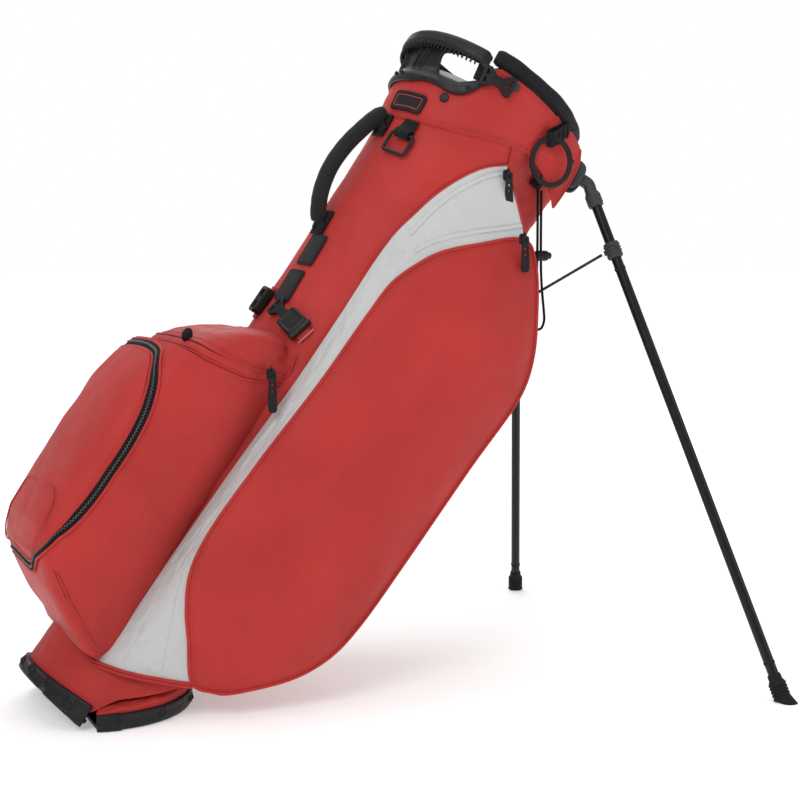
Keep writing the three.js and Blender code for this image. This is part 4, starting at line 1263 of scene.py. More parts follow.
def make_rear_handle():
    turns = np.linspace(HANDLE_FROM, HANDLE_TO, 90)
    edge = np.minimum(turns - HANDLE_FROM, HANDLE_TO - turns)
    fat = 1 - 0.45 * np.exp(-(edge / 2.2) ** 2)
    rise = 1.4 * np.cos(np.radians(turns - 180) * 1.4)
    path = tube_point(turns, 893.6 + rise, 4.4)
    grip = sweep("grip_work", path, band_section(12.2, 18.4, 0.42, 6), "black_plastic", UP, body="", scale=fat)
    place = on_tube(180, 867, 6.4)
    half = [(0, 24), (60, 24), (112, 23), (119, 10), (119.5, 0), (117, -9), (112.5, -17), (105, -25), (91, -30),
            (73, -28), (57, -27), (26, -31), (0, -31)]
    outline = smooth_outline(half + [(-x, y) for x, y in half[-2:0:-1]], 5)
    window = [(54, 15), (62, 18), (86, 18.5), (104, 17), (112, 9), (112.5, -3), (106, -11), (97, -16.5), (80, -19.5),
              (68, -15), (60, -8), (55, 4)]
    windows = [smooth_outline([(way * x, y) for x, y in window], 5) for way in (1, -1)]

    def necked(points):
        """the web steps in towards the tube's axis under the grip"""
        rows = place(points)
        away = np.abs(np.degrees(np.arctan2(rows[:, 1], -rows[:, 0])))
        inset = NECK * smoothstep((rows[:, 2] - 843) / 20) * (1 - smoothstep((away - 36) / 18))
        radial = rows * (1, 1, 0)
        return rows - inset[:, None] * radial / np.linalg.norm(radial, axis=1, keepdims=True)

    parts = [grip, work([outline, *windows], 4.4, 1.2, necked, fine=1.6)]
    for k in range(HANDLE_FINS):
        angle = 124 + 112 * k / (HANDLE_FINS - 1)
        parts.append(work([rounded_box(1.7, 8.5, 0.5, 3)], 5.0, 0.4, on_tube(angle, 884.2, 7.6)))
    # ribs that carry the grip, on the stem's face
    for angle, turn in ((165.5, 8), (171, 8), (189, -8), (194.5, -8)):
        parts.append(work([rounded_box(2.0, 36, 0.7, 3)], 4.4, 0.5, on_tube(angle, 867, 1.6, turn)))
    piece = fuse("rear_grab_handle", parts, 1.0, "black_plastic", rounds=2)
    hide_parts("rear_handle")
    for number, (angle, h) in enumerate(((123, 852), (176, 846), (184, 846), (237, 852))):
        pan_screw(f"handle_screw_{number + 1}", on_tube(angle, h, 8.8), 2.6)


BADGE_AT = (202, 811)


def make_badge():
    outlines = [rounded_box(52, 25, 5), rounded_box(42.5, 15.5, 1.6)]
    frame_part = moulded("badge_frame", outlines, 3.0, 1.1, on_tube(*BADGE_AT, 5.4), "rubber", fine=1.2)
    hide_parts("badge_plate")
    moulded("badge_field", [rounded_box(46, 19, 1.5)], 1.6, 0.3, on_tube(*BADGE_AT, 5.0), "rubber", fine=1.4)
    border = on_tube(*BADGE_AT, 6.0)(on_edge(rounded_box(41, 14, 1.2), 160, 0))
    piping("badge_border", border, 0.55, "shell_thread", closed=True)


def angle_at(f, y, h):
    depth, width, centre = (float(v) for v in tube_size(h))
    return math.degrees(math.atan2(y / width, (f - centre) / depth)) % 360


def make_snaps():
    for side in (RIGHT, LEFT):
        word = SIDE_NAMES[side]
        for name, (f, y, h), radius, material in (
            ("snap_rear_cap", (-68, -77, 830), 5.4, "black_plastic"),
            ("snap_steel_cap", (-10, -104, 884), 4.8, "graphite_plastic"),
        ):
            cap = rivet(f"{name}_{word}", flipped(on_tube(angle_at(f, y, h), h, 5.0), side), radius, material)
            if name == "snap_rear_cap" and side == RIGHT:
                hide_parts("snap_rear")
        for name, at, radius in (("snap_front_cap", (57.6, -97.2, 886), 4.6), ("cuff_screw", (106, -98.6, 863), 3.4)):
            rivet(f"{name}_{word}", flipped(frame_at(at, (0.06, -1, 0.08), (0, 0, 1)), side), radius, "black_plastic")


def stroke(p, q, width, steps=7):
    """rounded bar outline between two points"""
    p, q = np.asarray(p, float), np.asarray(q, float)
    turn = math.atan2(*(q - p)[::-1])
    points = []
    for end, first in ((q, turn - math.pi / 2), (p, turn + math.pi / 2)):
        for a in np.linspace(first, first + math.pi, steps):
            points.append(tuple(end + width / 2 * np.array((math.cos(a), math.sin(a)))))
    return points


def side_release_prong(name, place):
    """the crossed half of a side release buckle, 25 wide and 38 long, open between its bars"""
    strokes = [((-10.5, 17), (10.5, 17), 4.2), ((-10.5, -17), (10.5, -17), 4.2), ((-8, 11), (8, 11), 3.0),
               ((-8, -11), (8, -11), 3.0), ((0, 5), (0, -5), 11.5)]
    for sx in (1, -1):
        for sy in (1, -1):
            strokes.append(((sx * 2.6, sy * 4), (sx * 9.5, sy * 12), 5.0))
            strokes.append(((sx * 10.8, sy * 12), (sx * 10.8, sy * 17), 3.6))
            strokes.append(((0, sy * 11), (0, sy * 17), 3.4))
    return fuse(name, [work([stroke(p, q, width)], 4.8, 1.1, place) for p, q, width in strokes], 0.55, "black_plastic")


def make_hood_buckle():
    plate = side_release_prong("hood_buckle_plate", on_tube(250, 876, 9.6, turn=97))
    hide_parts("hood_buckle")
    strap = rounded_box(19, 11, 3, 4, at=(0, 22))
    moulded("hood_buckle_web", [strap], 1.8, 0.6, on_tube(250, 876, 8.0, turn=97), "webbing", fine=1.2)


# ---------------------------------------------------------------- rings on webbing
WORLD_DOWN = np.array((SIN_LEAN, 0, -COS_LEAN))


def make_strap_ring():
    place = on_tube(214, 757, 6.5)
    ring = on_edge(rounded_box(31, 25, 4), 120, 0)
    piece = sweep("strap_ring_bow", place(ring), band_section(4.6, 4.0, 0.48, 4), "black_plastic", closed=True,
                  body="strap_ring", normals=place(ring + (0, 0, 5)) - place(ring))
    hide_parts("strap_ring")
    path = np.array(((0, 33, -3.6), (0, 26, -2.6), (0, 19.4, 0.4), (0, 15.6, 3.8), (0, 11.8, 4.8), (0, 8.5, 3.0),
                     (0, 8.1, -1.2), (0, 11.6, -4.2), (0, 20, -5.2)))
    line = catmull(path, 8)
    out = np.cross(tangents(line), (1.0, 0, 0))
    web = sweep("strap_ring_web", place(line), band_section(21, 1.7, 0.4, 3), "webbing",
                normals=place(line + 3 * out) - place(line))
    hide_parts("strap_ring_tab")


TOWEL_WIDE, TOWEL_HIGH = 23, 28


def square_to(vector, axis):
    """the unit part of a vector that is square to a unit axis"""
    rest = np.asarray(vector, float) - (np.asarray(vector, float) @ axis) * axis
    return rest / np.linalg.norm(rest)


def make_towel_ring():
    top = tube_point(297, 866, 14)
    side = square_to((0.96, -0.27, 0), WORLD_DOWN)
    turns = np.linspace(0, 2 * math.pi, 96, endpoint=False)[:, None]
    path = top + TOWEL_HIGH * WORLD_DOWN + TOWEL_WIDE * np.cos(turns) * side + TOWEL_HIGH * np.sin(turns) * WORLD_DOWN
    piece = sweep("towel_ring_bow", path, band_section(6.6, 4.2, 0.46, 5), "black_plastic", closed=True,
                  body="towel_ring", normals=np.cross(side, WORLD_DOWN))
    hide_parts("towel_ring")
    # folded web: down from the rim, round the ring's top and back under itself
    root = tube_point(306, 893, 6)
    reach = float(np.linalg.norm(top - root))
    way = (top - root) / reach
    normal = square_to(tube_normal(302, 878), way)
    profile = ((-5, 1.0), (0, 2.6), (reach * 0.5, 3.6), (reach, 4.4), (reach + 4, 3.0), (reach + 5.2, 0),
               (reach + 3.6, -3.4), (reach - 2, -4.0), (reach * 0.5, -2.0), (0, -1.0))
    line = catmull(np.array([root + a * way + b * normal for a, b in profile]), 10)
    across = np.cross(way, normal)
    web = sweep("towel_ring_web", line, band_section(20, 2.0, 0.4, 3), "webbing",
                normals=np.cross(across, tangents(line)))
    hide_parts("towel_ring_tab")
    for number, share in enumerate((0.12, 0.42, 0.72)):
        at = root + share * reach * way + (3.6 + 1.4 * share) * normal
        piping(f"towel_web_rib_{number + 1}", np.linspace(at - 9.6 * across, at + 9.6 * across, 9), 1.7, "webbing")


# ---------------------------------------------------------------- carry handle, patches and strap buckles
HANDLE_Y = -12
HANDLE_PATH = ((-100, 792), (-106, 780), (-113, 757), (-119, 728), (-120, 695), (-113, 664), (-104, 646), (-97, 634))


def make_carry_handle():
    line = catmull([(f, HANDLE_Y, h) for f, h in HANDLE_PATH], 12)
    share = np.linspace(-1, 1, len(line))
    swell = 0.72 + 0.28 * np.clip((1 - np.abs(share)) / 0.22, 0, 1) ** 0.5
    swell += 0.012 * np.sin(np.arange(len(line)) * 0.9)
    up = (0, 1, 0)
    piece = sweep("carry_handle_grip", line, band_section(19.5, 18.5, 0.5, 6), "foam", normals=up, scale=swell)
    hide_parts("carry_handle")
    # a seam along the grip's inner face
    middle = line[8:-8]
    seam = middle + 9.4 * np.cross(tangents(middle), up)
    sweep("carry_handle_seam", seam, band_section(2.2, 1.6, 0.4, 3), "webbing", normals=up)
    for word, h, length in (("upper", 777, 30), ("lower", 636, 34)):
        name = f"carry_anchor_{word}"
        place = on_tube(187, h, 2.6)
        patch = moulded(name, [rounded_box(26, length, 2.5)], 3.0, 0.9, place, "webbing", fine=1.3)
        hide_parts(f"handle_anchor_{word}")
        stitched_box(f"{name}_stitch", 9.5, length / 2 - 3.5, on_tube(187, h, 4.3), "foam")
        for way, hand in ((-1, "left"), (1, "right")):
            wing = np.linspace((way * 10, -length * 0.3, 1.4), (way * 3, 0, 6.0), 8)
            sweep(f"{name}_wing_{hand}", place(wing), band_section(12, 2.2, 0.4, 3), "webbing",
                  normals=place(wing + (0, 0, 4)) - place(wing))


def make_patches():
    for word, h in (("upper", 599), ("lower", 549)):
        place = on_tube(195, h, 1.7, turn=4)
        patch = moulded(f"hook_patch_{word}", [rounded_box(30, 43, 3)], 2.4, 0.8, place, "foam", fine=1.3)
        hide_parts(f"strap_patch_{word}")
        border = on_edge(rounded_box(25.5, 38.5, 2), 120, 1.3)
        stitch(f"hook_patch_{word}_stitch", border, place, "webbing", length=1.8, gap=1.1)


SIDE_BUCKLE, SIDE_TURN = (216, 510), -16
SPINE_BUCKLE, SPINE_TURN = (176, 520), -8


def make_strap_buckles():
    sideways = on_tube(*SIDE_BUCKLE, 6.4, SIDE_TURN + 90)
    prong = side_release_prong("strap_buckle_prong", moved(sideways, (0, 14, 0)))
    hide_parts("strap_buckle_side")
    place = on_tube(*SIDE_BUCKLE, 7.0, SIDE_TURN)
    case = work([rounded_box(21, 25, 4, at=(6, 0))], 9.5, 2.0, place)
    rim = work([rounded_box(24, 28, 4.5, at=(7, 0)), rounded_box(16, 20, 3, at=(6, 0))], 11.5, 1.5, place)
    bar = work([rounded_box(6.5, 31, 2.5, at=(20.5, 0))], 9.0, 2.0, place)
    fuse("strap_buckle_case", [case, rim, bar], 0.6, "black_plastic")
    low = on_tube(*SIDE_BUCKLE, 2.2, SIDE_TURN)
    moulded("strap_buckle_web", [rounded_box(64, 19, 2)], 1.8, 0.6, low, "shell_fabric", fine=1.3)
    tack = np.linspace((30, -12, 1.2), (30, 12, 1.2), 14)
    stitch("strap_buckle_bar_tack", tack, low, "panel_thread", length=2.0, gap=0.4)
    place = on_tube(*SPINE_BUCKLE, 7.4, SPINE_TURN)
    ring = work([rounded_box(23, 35, 5), rounded_box(15, 26, 3)], 11.5, 2.2, place)
    bar = work([rounded_box(20, 8, 2)], 7.0, 1.6, place)
    spine = fuse("strap_buckle_spine_frame", [ring, bar], 0.6, "black_plastic")
    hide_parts("strap_buckle_spine")
    low = on_tube(*SPINE_BUCKLE, 3.0, SPINE_TURN)
    moulded("strap_buckle_spine_web", [rounded_box(15, 46, 2)], 2.0, 0.6, low, "shell_fabric", fine=1.3)


# ---------------------------------------------------------------- zip pulls and sliders
PULLS = {
    "pull_valuables": ((42, -105.5, 795), 46),
    "pull_apparel": ((89.6, -137, 736), 42),
    "pull_cooler": ((-76, -112.5, 437), 46),
}


def make_pulls():
    for body, (at, length) in PULLS.items():
        place = frame_at(at, (0, -1, 0), -WORLD_DOWN)
        half, low = 4.7, 4.6 - length
        outline = [(half - 1.2, 4.4), (half, 1), (half - 0.4, -6), (half, -12), (half, low + 2), (half - 1.8, low)]
        outline += [(-x, y) for x, y in outline[::-1]]
        holes = [disc(1.7, 20), *(rounded_box(3.4, 3.2, 1.2, 4, at=(0, y)) for y in (-10.5, -18))]
        parts = [work([smooth_outline(outline, 4), *holes], 3.2, 0.9, moved(place, (0, 0, 3.2)))]
        for k in range(5):
            ridge = rounded_box(6.4, 1.4, 0.6, 3, at=(0, low + 6.5 + 2.9 * k))
            parts.append(work([ridge], 1.2, 0.4, moved(place, (0, 0, 3.3))))
        tab = fuse(f"{body}_tab", parts, 0.42, "rubber", body=body, rounds=2)
        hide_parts(body)
        base = work([rounded_box(9.5, 13, 3, at=(0, -1))], 4.4, 1.4, moved(place, (0, 2.5, -2.8)))
        arch = np.array([(0, 6.6 * math.cos(a) + 2.6, 4.4 * math.sin(a) - 1.0) for a in np.linspace(0, math.pi, 16)])
        loop = sweep("loop_work", place(arch), band_section(3.0, 1.6, 0.45, 4), "black_plastic", body="",
                     normals=place(arch + (5, 0, 0)) - place(arch))
        fuse(f"{body}_slider", [base, loop], 0.45, "black_plastic", rounds=2)
    # the cooler zip's upper pull stands up at the far corner of the lid
    profile = ((0, -1), (3.0, 0), (5.2, 3), (6.2, 7), (5.6, 11), (3.4, 14.4), (0, 15.6))
    squeeze = frame_at((-168, -62, 420), (-0.15, 0, 1), (0, 1, 0))
    lathe("cooler_upper_pull", profile, lambda p: squeeze(np.asarray(p) * (1, 0.55, 1)), "rubber")


# ---------------------------------------------------------------- cord lock and its tab
def row_point(points):
    """row millimetres to bag millimetres"""
    flat = np.asarray(points, float) / 1000 - BAG_ARRAY[:3, 3]
    return flat @ np.linalg.inv(BAG_ARRAY[:3, :3]).T


def make_cord_lock():
    x, y, z = (v * 1000 for v in CORD_START)
    middle = np.array((x, y, z - 80))

    def place(points):
        p = np.asarray(points, float)
        return row_point(middle + np.stack([p[:, 2], p[:, 0], p[:, 1]], axis=1))

    barrel = ((0, -15), (3.6, -15), (4.6, -14.2), (4.9, -13), (4.9, -10.8), (3.9, -10), (3.9, -8.4), (5.2, -7.4),
              (6.4, -6.0), (6.5, -3.8), (6.1, -3.2), (6.5, -2.6), (6.5, 0.6), (6.1, 1.2), (6.5, 1.8), (6.5, 6.4),
              (6.1, 8.2), (5.6, 9.0), (4.7, 9.0), (4.6, 5.2), (0, 5.2))
    lock = lathe("cord_lock_barrel", barrel, place, "black_plastic", "cord_lock", steps=40)
    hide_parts("cord_lock")
    cap = ((0, 7.6), (4.1, 7.6), (4.15, 12.4), (3.8, 13.3), (3.0, 13.8), (0, 14.0))
    button = lathe("cord_lock_push_button", cap, place, "black_plastic", "cord_lock_button", steps=36)
    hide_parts("cord_lock_button")
    end = row_point(np.array((x - 2.4, y, z + 4.5)))
    root, out = tube_point(-36, 826, 4.3), tube_normal(-36, 826)
    path = catmull(np.array([root, root + 0.5 * (end - root) + (2, -1, 0), end]), 12)
    tab = sweep("cord_tab_web", path, band_section(11, 5.0, 0.4, 4), "webbing", normals=out)
    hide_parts("cord_tab")
    across = np.cross(end - root, out)
    across *= 4.4 / np.linalg.norm(across)
    for number, share in enumerate((0.55, 0.8)):
        at = root + (end - root) * share + out * 2.9
        rows = np.linspace(at - across, at + across, 6)
        dashes(f"cord_tab_stitch_{number + 1}", rows, np.tile(out, (6, 1)), "webbing", length=1.4, gap=0.5)
    return [lock, button, tab]


# ---------------------------------------------------------------- legs
LEG_PIVOT, LEG_FOOT = np.array((144.0, -92, 857)), np.array((595.0, -326, 437))
LEG_LINE = (LEG_FOOT - LEG_PIVOT) / np.linalg.norm(LEG_FOOT - LEG_PIVOT)
SWING = np.array((LEG_LINE[0], LEG_LINE[1], 0)) / math.hypot(LEG_LINE[0], LEG_LINE[1])
PIN_AT = LEG_PIVOT - 22 * SWING
PIN_AXIS = np.cross(SWING, (0, 0, 1))
PIN_AXIS /= np.linalg.norm(PIN_AXIS)
CROSSHEAD_F, CROSSHEAD_H = 103, 554
ROD_RADIUS, TUBE_RADIUS = 3, 6.35


def on_leg(s):
    return LEG_PIVOT + np.asarray(s, float)[..., None] * LEG_LINE


def above_floor(piece):
    """lifts what dips under the floor up to it"""
    for vertex in piece.data.vertices:
        vertex.co.z = max(vertex.co.z, 0.0)
    return piece


def swing_plate_place(side, across):
    """placer for plates in the leg's swing plane: x along the swing, y up, z across"""
    def place(points):
        p = np.asarray(points, float)
        return PIN_AT + p[:, :1] * SWING + p[:, 1:2] * (0, 0, 1) + (across + p[:, 2:3]) * PIN_AXIS
    return flipped(place, side)


def ribbed(low, high, radius, ribs, groove=0.9):
    """profile rows up the outside of a ribbed sleeve"""
    rows = []
    span = (high - low) / ribs
    for k in range(ribs):
        at = low + span * k
        rows += [(radius - groove, at + 0.1 * span), (radius, at + 0.3 * span), (radius, at + 0.75 * span),
                 (radius - groove, at + 0.95 * span)]
    return rows


def make_leg_bracket():
    parts = [work([rounded_box(128, 42, 9, 8)], 6.6, 1.6, on_tube(0, 858, 7.4), fine=1.8)]
    parts += [work([rounded_box(120, 7, 3, 5)], 3.0, 1.0, on_tube(0, h, 11.2), fine=1.8) for h in (868, 848)]
    ear = [(-18, -17), (0, -19.5), (9, -16), (12.5, -6), (12.5, 6), (9, 14), (0, 17.5), (-18, 15)]
    root = [(-34, -15), (-12, -16), (-10, -10), (-10, 9), (-12, 14), (-34, 13)]
    for side in (RIGHT, LEFT):
        parts += [work([smooth_outline(ear, 4)], 4.4, 1.2, swing_plate_place(side, across)) for across in (-11, 11)]
        parts.append(work([smooth_outline(root, 3)], 20, 2.0, swing_plate_place(side, 0)))
    piece = fuse("leg_bracket_moulding", parts, 1.0, "graphite_plastic", rounds=3)
    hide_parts("leg_bracket")
    for side in (RIGHT, LEFT):
        word = SIDE_NAMES[side]
        pan_screw(f"bracket_screw_{word}", swing_plate_place(side, 13.4), 4.2)
        inner = swing_plate_place(side, -13.4)
        pan_screw(f"bracket_screw_inner_{word}", lambda p, place=inner: place(np.asarray(p, float) * (1, 1, -1)), 4.2)
        for number, h in enumerate((868, 848)):
            pan_screw(f"band_screw_{number + 1}_{word}", on_tube(322 if side == RIGHT else 38, h, 11.4), 2.8)


def make_leg(side):
    word = SIDE_NAMES[side]
    body = f"leg_{word}"
    down = flipped(frame_at(LEG_PIVOT, LEG_LINE, UP), side)
    pin = flipped(frame_at(PIN_AT, PIN_AXIS, UP), side)
    mirror = np.array((1, -side, 1))
    hub_rows = ((3.2, -8.3), (8.2, -8.3), (9.3, -7.2), (9.3, 7.2), (8.2, 8.3), (3.2, 8.3))
    hub = lathe("hub_work", hub_rows, pin, "graphite_plastic", "", steps=40, ring=True)
    way = catmull([PIN_AT + 2 * SWING, PIN_AT + 11 * SWING + (0, 0, 0.8), on_leg(0), on_leg(10), on_leg(20)], 8)
    arm = sweep("arm_work", way * mirror, band_section(14.5, 15.5, 0.42, 5), "graphite_plastic", PIN_AXIS * mirror,
                body="")
    sleeve_rows = [(0, 11), (7.6, 11), (9.0, 13)] + ribbed(14, 27, 10.0, 4, 1.3) + [(9.2, 28), (9.2, 29.6), (0, 29.8)]
    sleeve = lathe("sleeve_work", sleeve_rows, down, "graphite_plastic", "", steps=40)
    knuckle = fuse(f"leg_knuckle_{word}", [hub, arm, sleeve], 0.62, "graphite_plastic", body=body)
    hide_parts(f"leg_{word}_knuckle")
    tube_rows = [(0, 29.2), *((TUBE_RADIUS, s) for s in (29.2, 120, 300, 480, 629)), (0, 629)]
    tube = lathe(f"leg_tube_{word}", tube_rows, down, "leg_paint", body, steps=36)
    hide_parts(f"leg_{word}_tube")
    collar_rows = [(6.4, 78), (8.8, 78), (9.6, 79)] + ribbed(80, 92, 10.4, 3, 1.4)
    collar_rows += [(9.8, 93), (9.8, 96.6), (8.4, 98), (6.4, 98)]
    collar_ring = lathe("collar_work", collar_rows, down, "graphite_plastic", "", steps=40, ring=True)
    middle = on_leg(88)
    crosshead = np.array((CROSSHEAD_F, 0, CROSSHEAD_H), float)
    lug_way = square_to(crosshead - middle, LEG_LINE)
    lug_line = np.array([middle + 8.5 * lug_way, middle + 11.6 * lug_way]) * mirror
    lug = sweep("lug_work", lug_line, round_section(3.4, 20), "graphite_plastic", body="")
    collar = fuse(f"leg_collar_{word}", [collar_ring, lug], 0.5, "graphite_plastic", body=body, rounds=2)
    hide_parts(f"leg_{word}_collar")
    foot_rows = [(0, 626), (7.4, 626), (8.0, 628), (8.0, 633), (9.4, 635)] + ribbed(636, 652, 10.6, 4, 0.9)
    foot_rows += [(11, 656), (11, 674), (10.2, 677), (8.5, 678), (0, 678)]
    foot = above_floor(lathe(f"leg_foot_cap_{word}", foot_rows, down, "rubber", body, steps=44))
    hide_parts(f"leg_{word}_foot")
    for number, s in enumerate((112, 612)):
        ring = ((6.3, s - 1.6), (6.8, s - 1.6), (6.95, s), (6.8, s + 1.6), (6.3, s + 1.6))
        lathe(f"leg_tube_ring_{number + 1}_{word}", ring, down, "rubber", body, steps=36, ring=True)
    # spreader wire from the crosshead to the collar's lug
    lug_at = middle + 13 * lug_way
    start = crosshead + (0, -12, 0)
    end = lug_at + (start - lug_at) * 0.006
    along = (end - start) / np.linalg.norm(end - start)
    points = np.array([start, start + 30 * along, start + 0.5 * (end - start), end - 30 * along, end]) * mirror
    wire = sweep(f"spreader_rod_{word}", catmull(points, 6), round_section(1.8, 14), "leg_paint", body=f"wire_{word}")
    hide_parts(f"spreader_wire_{word}")


def make_push_rod():
    rod = sweep("push_rod_bar", np.array([(CROSSHEAD_F, 0, h) for h in np.linspace(120, CROSSHEAD_H - 9, 6)]),
                round_section(ROD_RADIUS, 24), "leg_paint", body="push_rod")
    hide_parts("push_rod")
    place = frame_at((CROSSHEAD_F, 0, CROSSHEAD_H), (1, 0, 0), UP)
    block = work([rounded_box(20, 17, 4)], 10, 2.0, place)
    rib = work([rounded_box(4, 15, 1.5, 4)], 11.6, 1.0, place)
    neck = sweep("neck_work", np.array([(CROSSHEAD_F, 0, h) for h in (CROSSHEAD_H - 14, CROSSHEAD_H - 6)]),
                 round_section(4.4, 20), "graphite_plastic", body="")
    head = fuse("push_rod_crosshead", [block, rib, neck], 0.6, "graphite_plastic", body="push_rod")
    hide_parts("crosshead")
    for name, h in (("rod_guide_lower", 300), ("rod_guide_upper", 440)):
        eye = work([disc(7.0, 30), disc(ROD_RADIUS + 0.45, 24)], 12, 1.0, frame_at((CROSSHEAD_F, 0, h), UP, (1, 0, 0)))
        foot = work([rounded_box(26, 20, 4)], 3.4, 1.0, on_tube(0, h, 3.6), fine=1.4)
        guide = fuse(f"{name}_eye", [eye, foot], 0.6, "black_plastic", rounds=2)
        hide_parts(name)


# ---------------------------------------------------------------- base: boot, plate and the folding skirt
BASE_A, BASE_B, BASE_C = 106.0, 117.0, 6.0
BOOT_CUT = -AXIS_AHEAD * 1000 - 9
PLATE_SHIFT = (AXIS_AHEAD * 1000 + BASE_C) - 60.0


BOOT_LIP = 27.5
BOOT_SLOPE = 0.2
BOOT_BOSSES = (0.1, 0.26, 0.42, 0.58, 0.74, 0.9)
PLATE_BOSSES = (0.06, 0.2, 0.36, 0.64, 0.8, 0.94)


def dish_wall(section, point, in_row=False):
    """wall of a half dish: section rows of (scale, height) round an open arc, closed by its flat ends"""
    grid = np.array([[point(t, scale, height) for scale, height in section] for t in np.linspace(0, 1, 90)])
    m, n = grid.shape[:2]
    faces = grid_faces(m, n, closed=True) + [tuple(range(n)), tuple(range(m * n - n, m * n))]
    return new_piece("wall_work", grid.reshape(-1, 3), faces, "black_plastic", "", in_row=in_row)


def oval_normal(a):
    """outward direction of the base's oval at the angle a"""
    out = np.array((BASE_B * math.cos(a), BASE_A * math.sin(a), 0))
    return out / np.linalg.norm(out)


def leaned(place):
    """a placer made in row millimetres"""
    return lambda points: row_point(place(points))


def boot_rise(f):
    """how far the boot's underside rises towards the back"""
    return BOOT_SLOPE * max(0.0, BOOT_CUT - 3 - f)


def make_base_boot():
    first = math.acos((BOOT_CUT - BASE_C) / BASE_A)
    turn = lambda t: first + (2 * math.pi - 2 * first) * t

    def at(t, scale, height):
        a = turn(t)
        f = BASE_C + BASE_A * scale * math.cos(a)
        rise = boot_rise(f)
        return (f, BASE_B * scale * math.sin(a), rise + height * (BOOT_LIP - rise) / 32.4)

    wall = ((0.93, 0.2), (0.975, 0.8), (0.995, 3), (1.0, 8), (1.0, 24), (1.012, 27), (1.012, 31.5), (0.995, 32.4),
            (0.955, 32.0), (0.95, 8), (0.93, 5))
    turns = np.linspace(first, 2 * math.pi - first, 60)
    floor_edge = [(BASE_C + BASE_A * 0.95 * math.cos(a), BASE_B * 0.95 * math.sin(a)) for a in turns]
    floor_place = lambda points: np.array([(f, y, z + 2.7 + boot_rise(f)) for f, y, z in points])
    parts = [dish_wall(wall, at), work([floor_edge], 5.0, 1.0, floor_place)]
    # the band's vertical bosses and the raised skids under it
    for t in BOOT_BOSSES:
        parts.append(work([disc(6.4, 26)], 4.0, 1.4, frame_at(at(t, 1.008, 18), oval_normal(turn(t)), UP)))
    for t_low, t_high, depth in ((0.08, 0.25, 1.5), (0.3, 0.7, 2.2), (0.75, 0.92, 1.5)):
        path = [at(t, 0.985, 2.6 + 1.2 * depth) for t in np.linspace(t_low, t_high, 26)]
        parts.append(sweep("skid_work", path, band_section(7, 5.5, 0.4, 4), "black_plastic", UP, body=""))
    lug = [(-12, 0.4), (-1.2, 0.6), (4.0, 3.8), (4.0, 8.0), (-12, 8.0)]
    parts += [work([lug], 15.6, 0.6, frame_at((BOOT_CUT + 9, y, 0), (0, -1, 0), UP)) for y in (-70, 0, 70)]
    boot = fuse("base_boot_moulding", parts, 1.15, "black_plastic", rounds=2)
    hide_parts("base_boot")
    for number, t in enumerate(BOOT_BOSSES):
        out = oval_normal(turn(t))
        pan_screw(f"boot_screw_{number + 1}", frame_at(at(t, 1.008, 18) + 1.9 * out, out, UP), 3.0)


def plate_point(a, scale, z):
    """point of the front plate's outline in row millimetres"""
    return np.array((PLATE_SHIFT + BASE_A * scale * math.cos(a), BASE_B * scale * math.sin(a), z))


PLATE_TURN = math.acos((HINGE_X * 1000 + 10 - PLATE_SHIFT) / BASE_A)


def make_base_plate():
    section = ((0.93, 0.1), (0.975, 0.3), (0.99, 1.4), (0.998, 4), (0.998, 13), (1.01, 15), (1.01, 18.6), (0.995, 19.4),
               (0.955, 19), (0.95, 7), (0.93, 6))

    turn = lambda t: -PLATE_TURN + 2 * PLATE_TURN * t
    wall = dish_wall(section, lambda t, scale, height: plate_point(turn(t), scale, height) / 1000, in_row=True)
    edge = [plate_point(a, 0.95, 0)[:2] for a in np.linspace(-PLATE_TURN, PLATE_TURN, 60)]
    parts = [wall, work([edge], 6.0, 1.0, moved(row_point, (0, 0, 3.1)))]
    for a in map(turn, PLATE_BOSSES):
        parts.append(work([disc(5.6, 24)], 3.6, 1.3, leaned(frame_at(plate_point(a, 1.005, 10.5), oval_normal(a), UP))))
    # feet at both corners and across the front
    up = row_point(UP) - row_point((0, 0, 0))
    for low, high in ((0.0, 0.07), (0.44, 0.56), (0.93, 1.0)):
        path = row_point([plate_point(turn(t), 0.975, 3.2) for t in np.linspace(low, high, 14)])
        parts.append(sweep("foot_work", path, band_section(9, 6.2, 0.3, 4), "black_plastic", up, body=""))
    for y in (-35, 35):
        lug = frame_at((HINGE_X * 1000 + 5.5, y, 3.6), (0, -1, 0), UP)
        parts.append(work([rounded_box(15, 7, 1.6)], 15.6, 0.8, leaned(lug)))
    plate = above_floor(fuse("base_plate_moulding", parts, 1.15, "black_plastic", body="base_plate", rounds=2))
    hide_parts("base_plate")
    for number, a in enumerate(map(turn, PLATE_BOSSES)):
        screw = frame_at(plate_point(a, 1.005, 10.5) + 1.7 * oval_normal(a), oval_normal(a), UP)
        pan_screw(f"plate_screw_{number + 1}", leaned(screw), 2.7, body="base_plate")


SKIRT_TURN = 115.5


def skirt_profile(t, v):
    """folded skirt in row millimetres: t round from one hinge corner to the other, v down from tube to plate"""
    a = -PLATE_TURN + 2 * PLATE_TURN * t
    angle = a * SKIRT_TURN / PLATE_TURN
    edge_h = float(lower_edge(math.cos(math.radians(angle))))
    inside = to_row(tube_point(angle, edge_h + 6, -3.2)) * 1000
    hem = to_row(tube_point(angle, edge_h, -3.0)) * 1000
    open_share = math.sin(math.pi * t) ** 0.5
    ridge_high = plate_point(a, 0.95, 20 + 13 * open_share)
    crease = (hem + ridge_high) / 2 - oval_normal(a) * (3 + 20 * open_share)
    ridge = plate_point(a, 0.985, 19 + 10 * open_share)
    rim, low = plate_point(a, 0.972, 16.5), plate_point(a, 0.968, 12)
    return resample(catmull([inside, hem, crease, ridge_high, ridge, rim, low], 5), v)


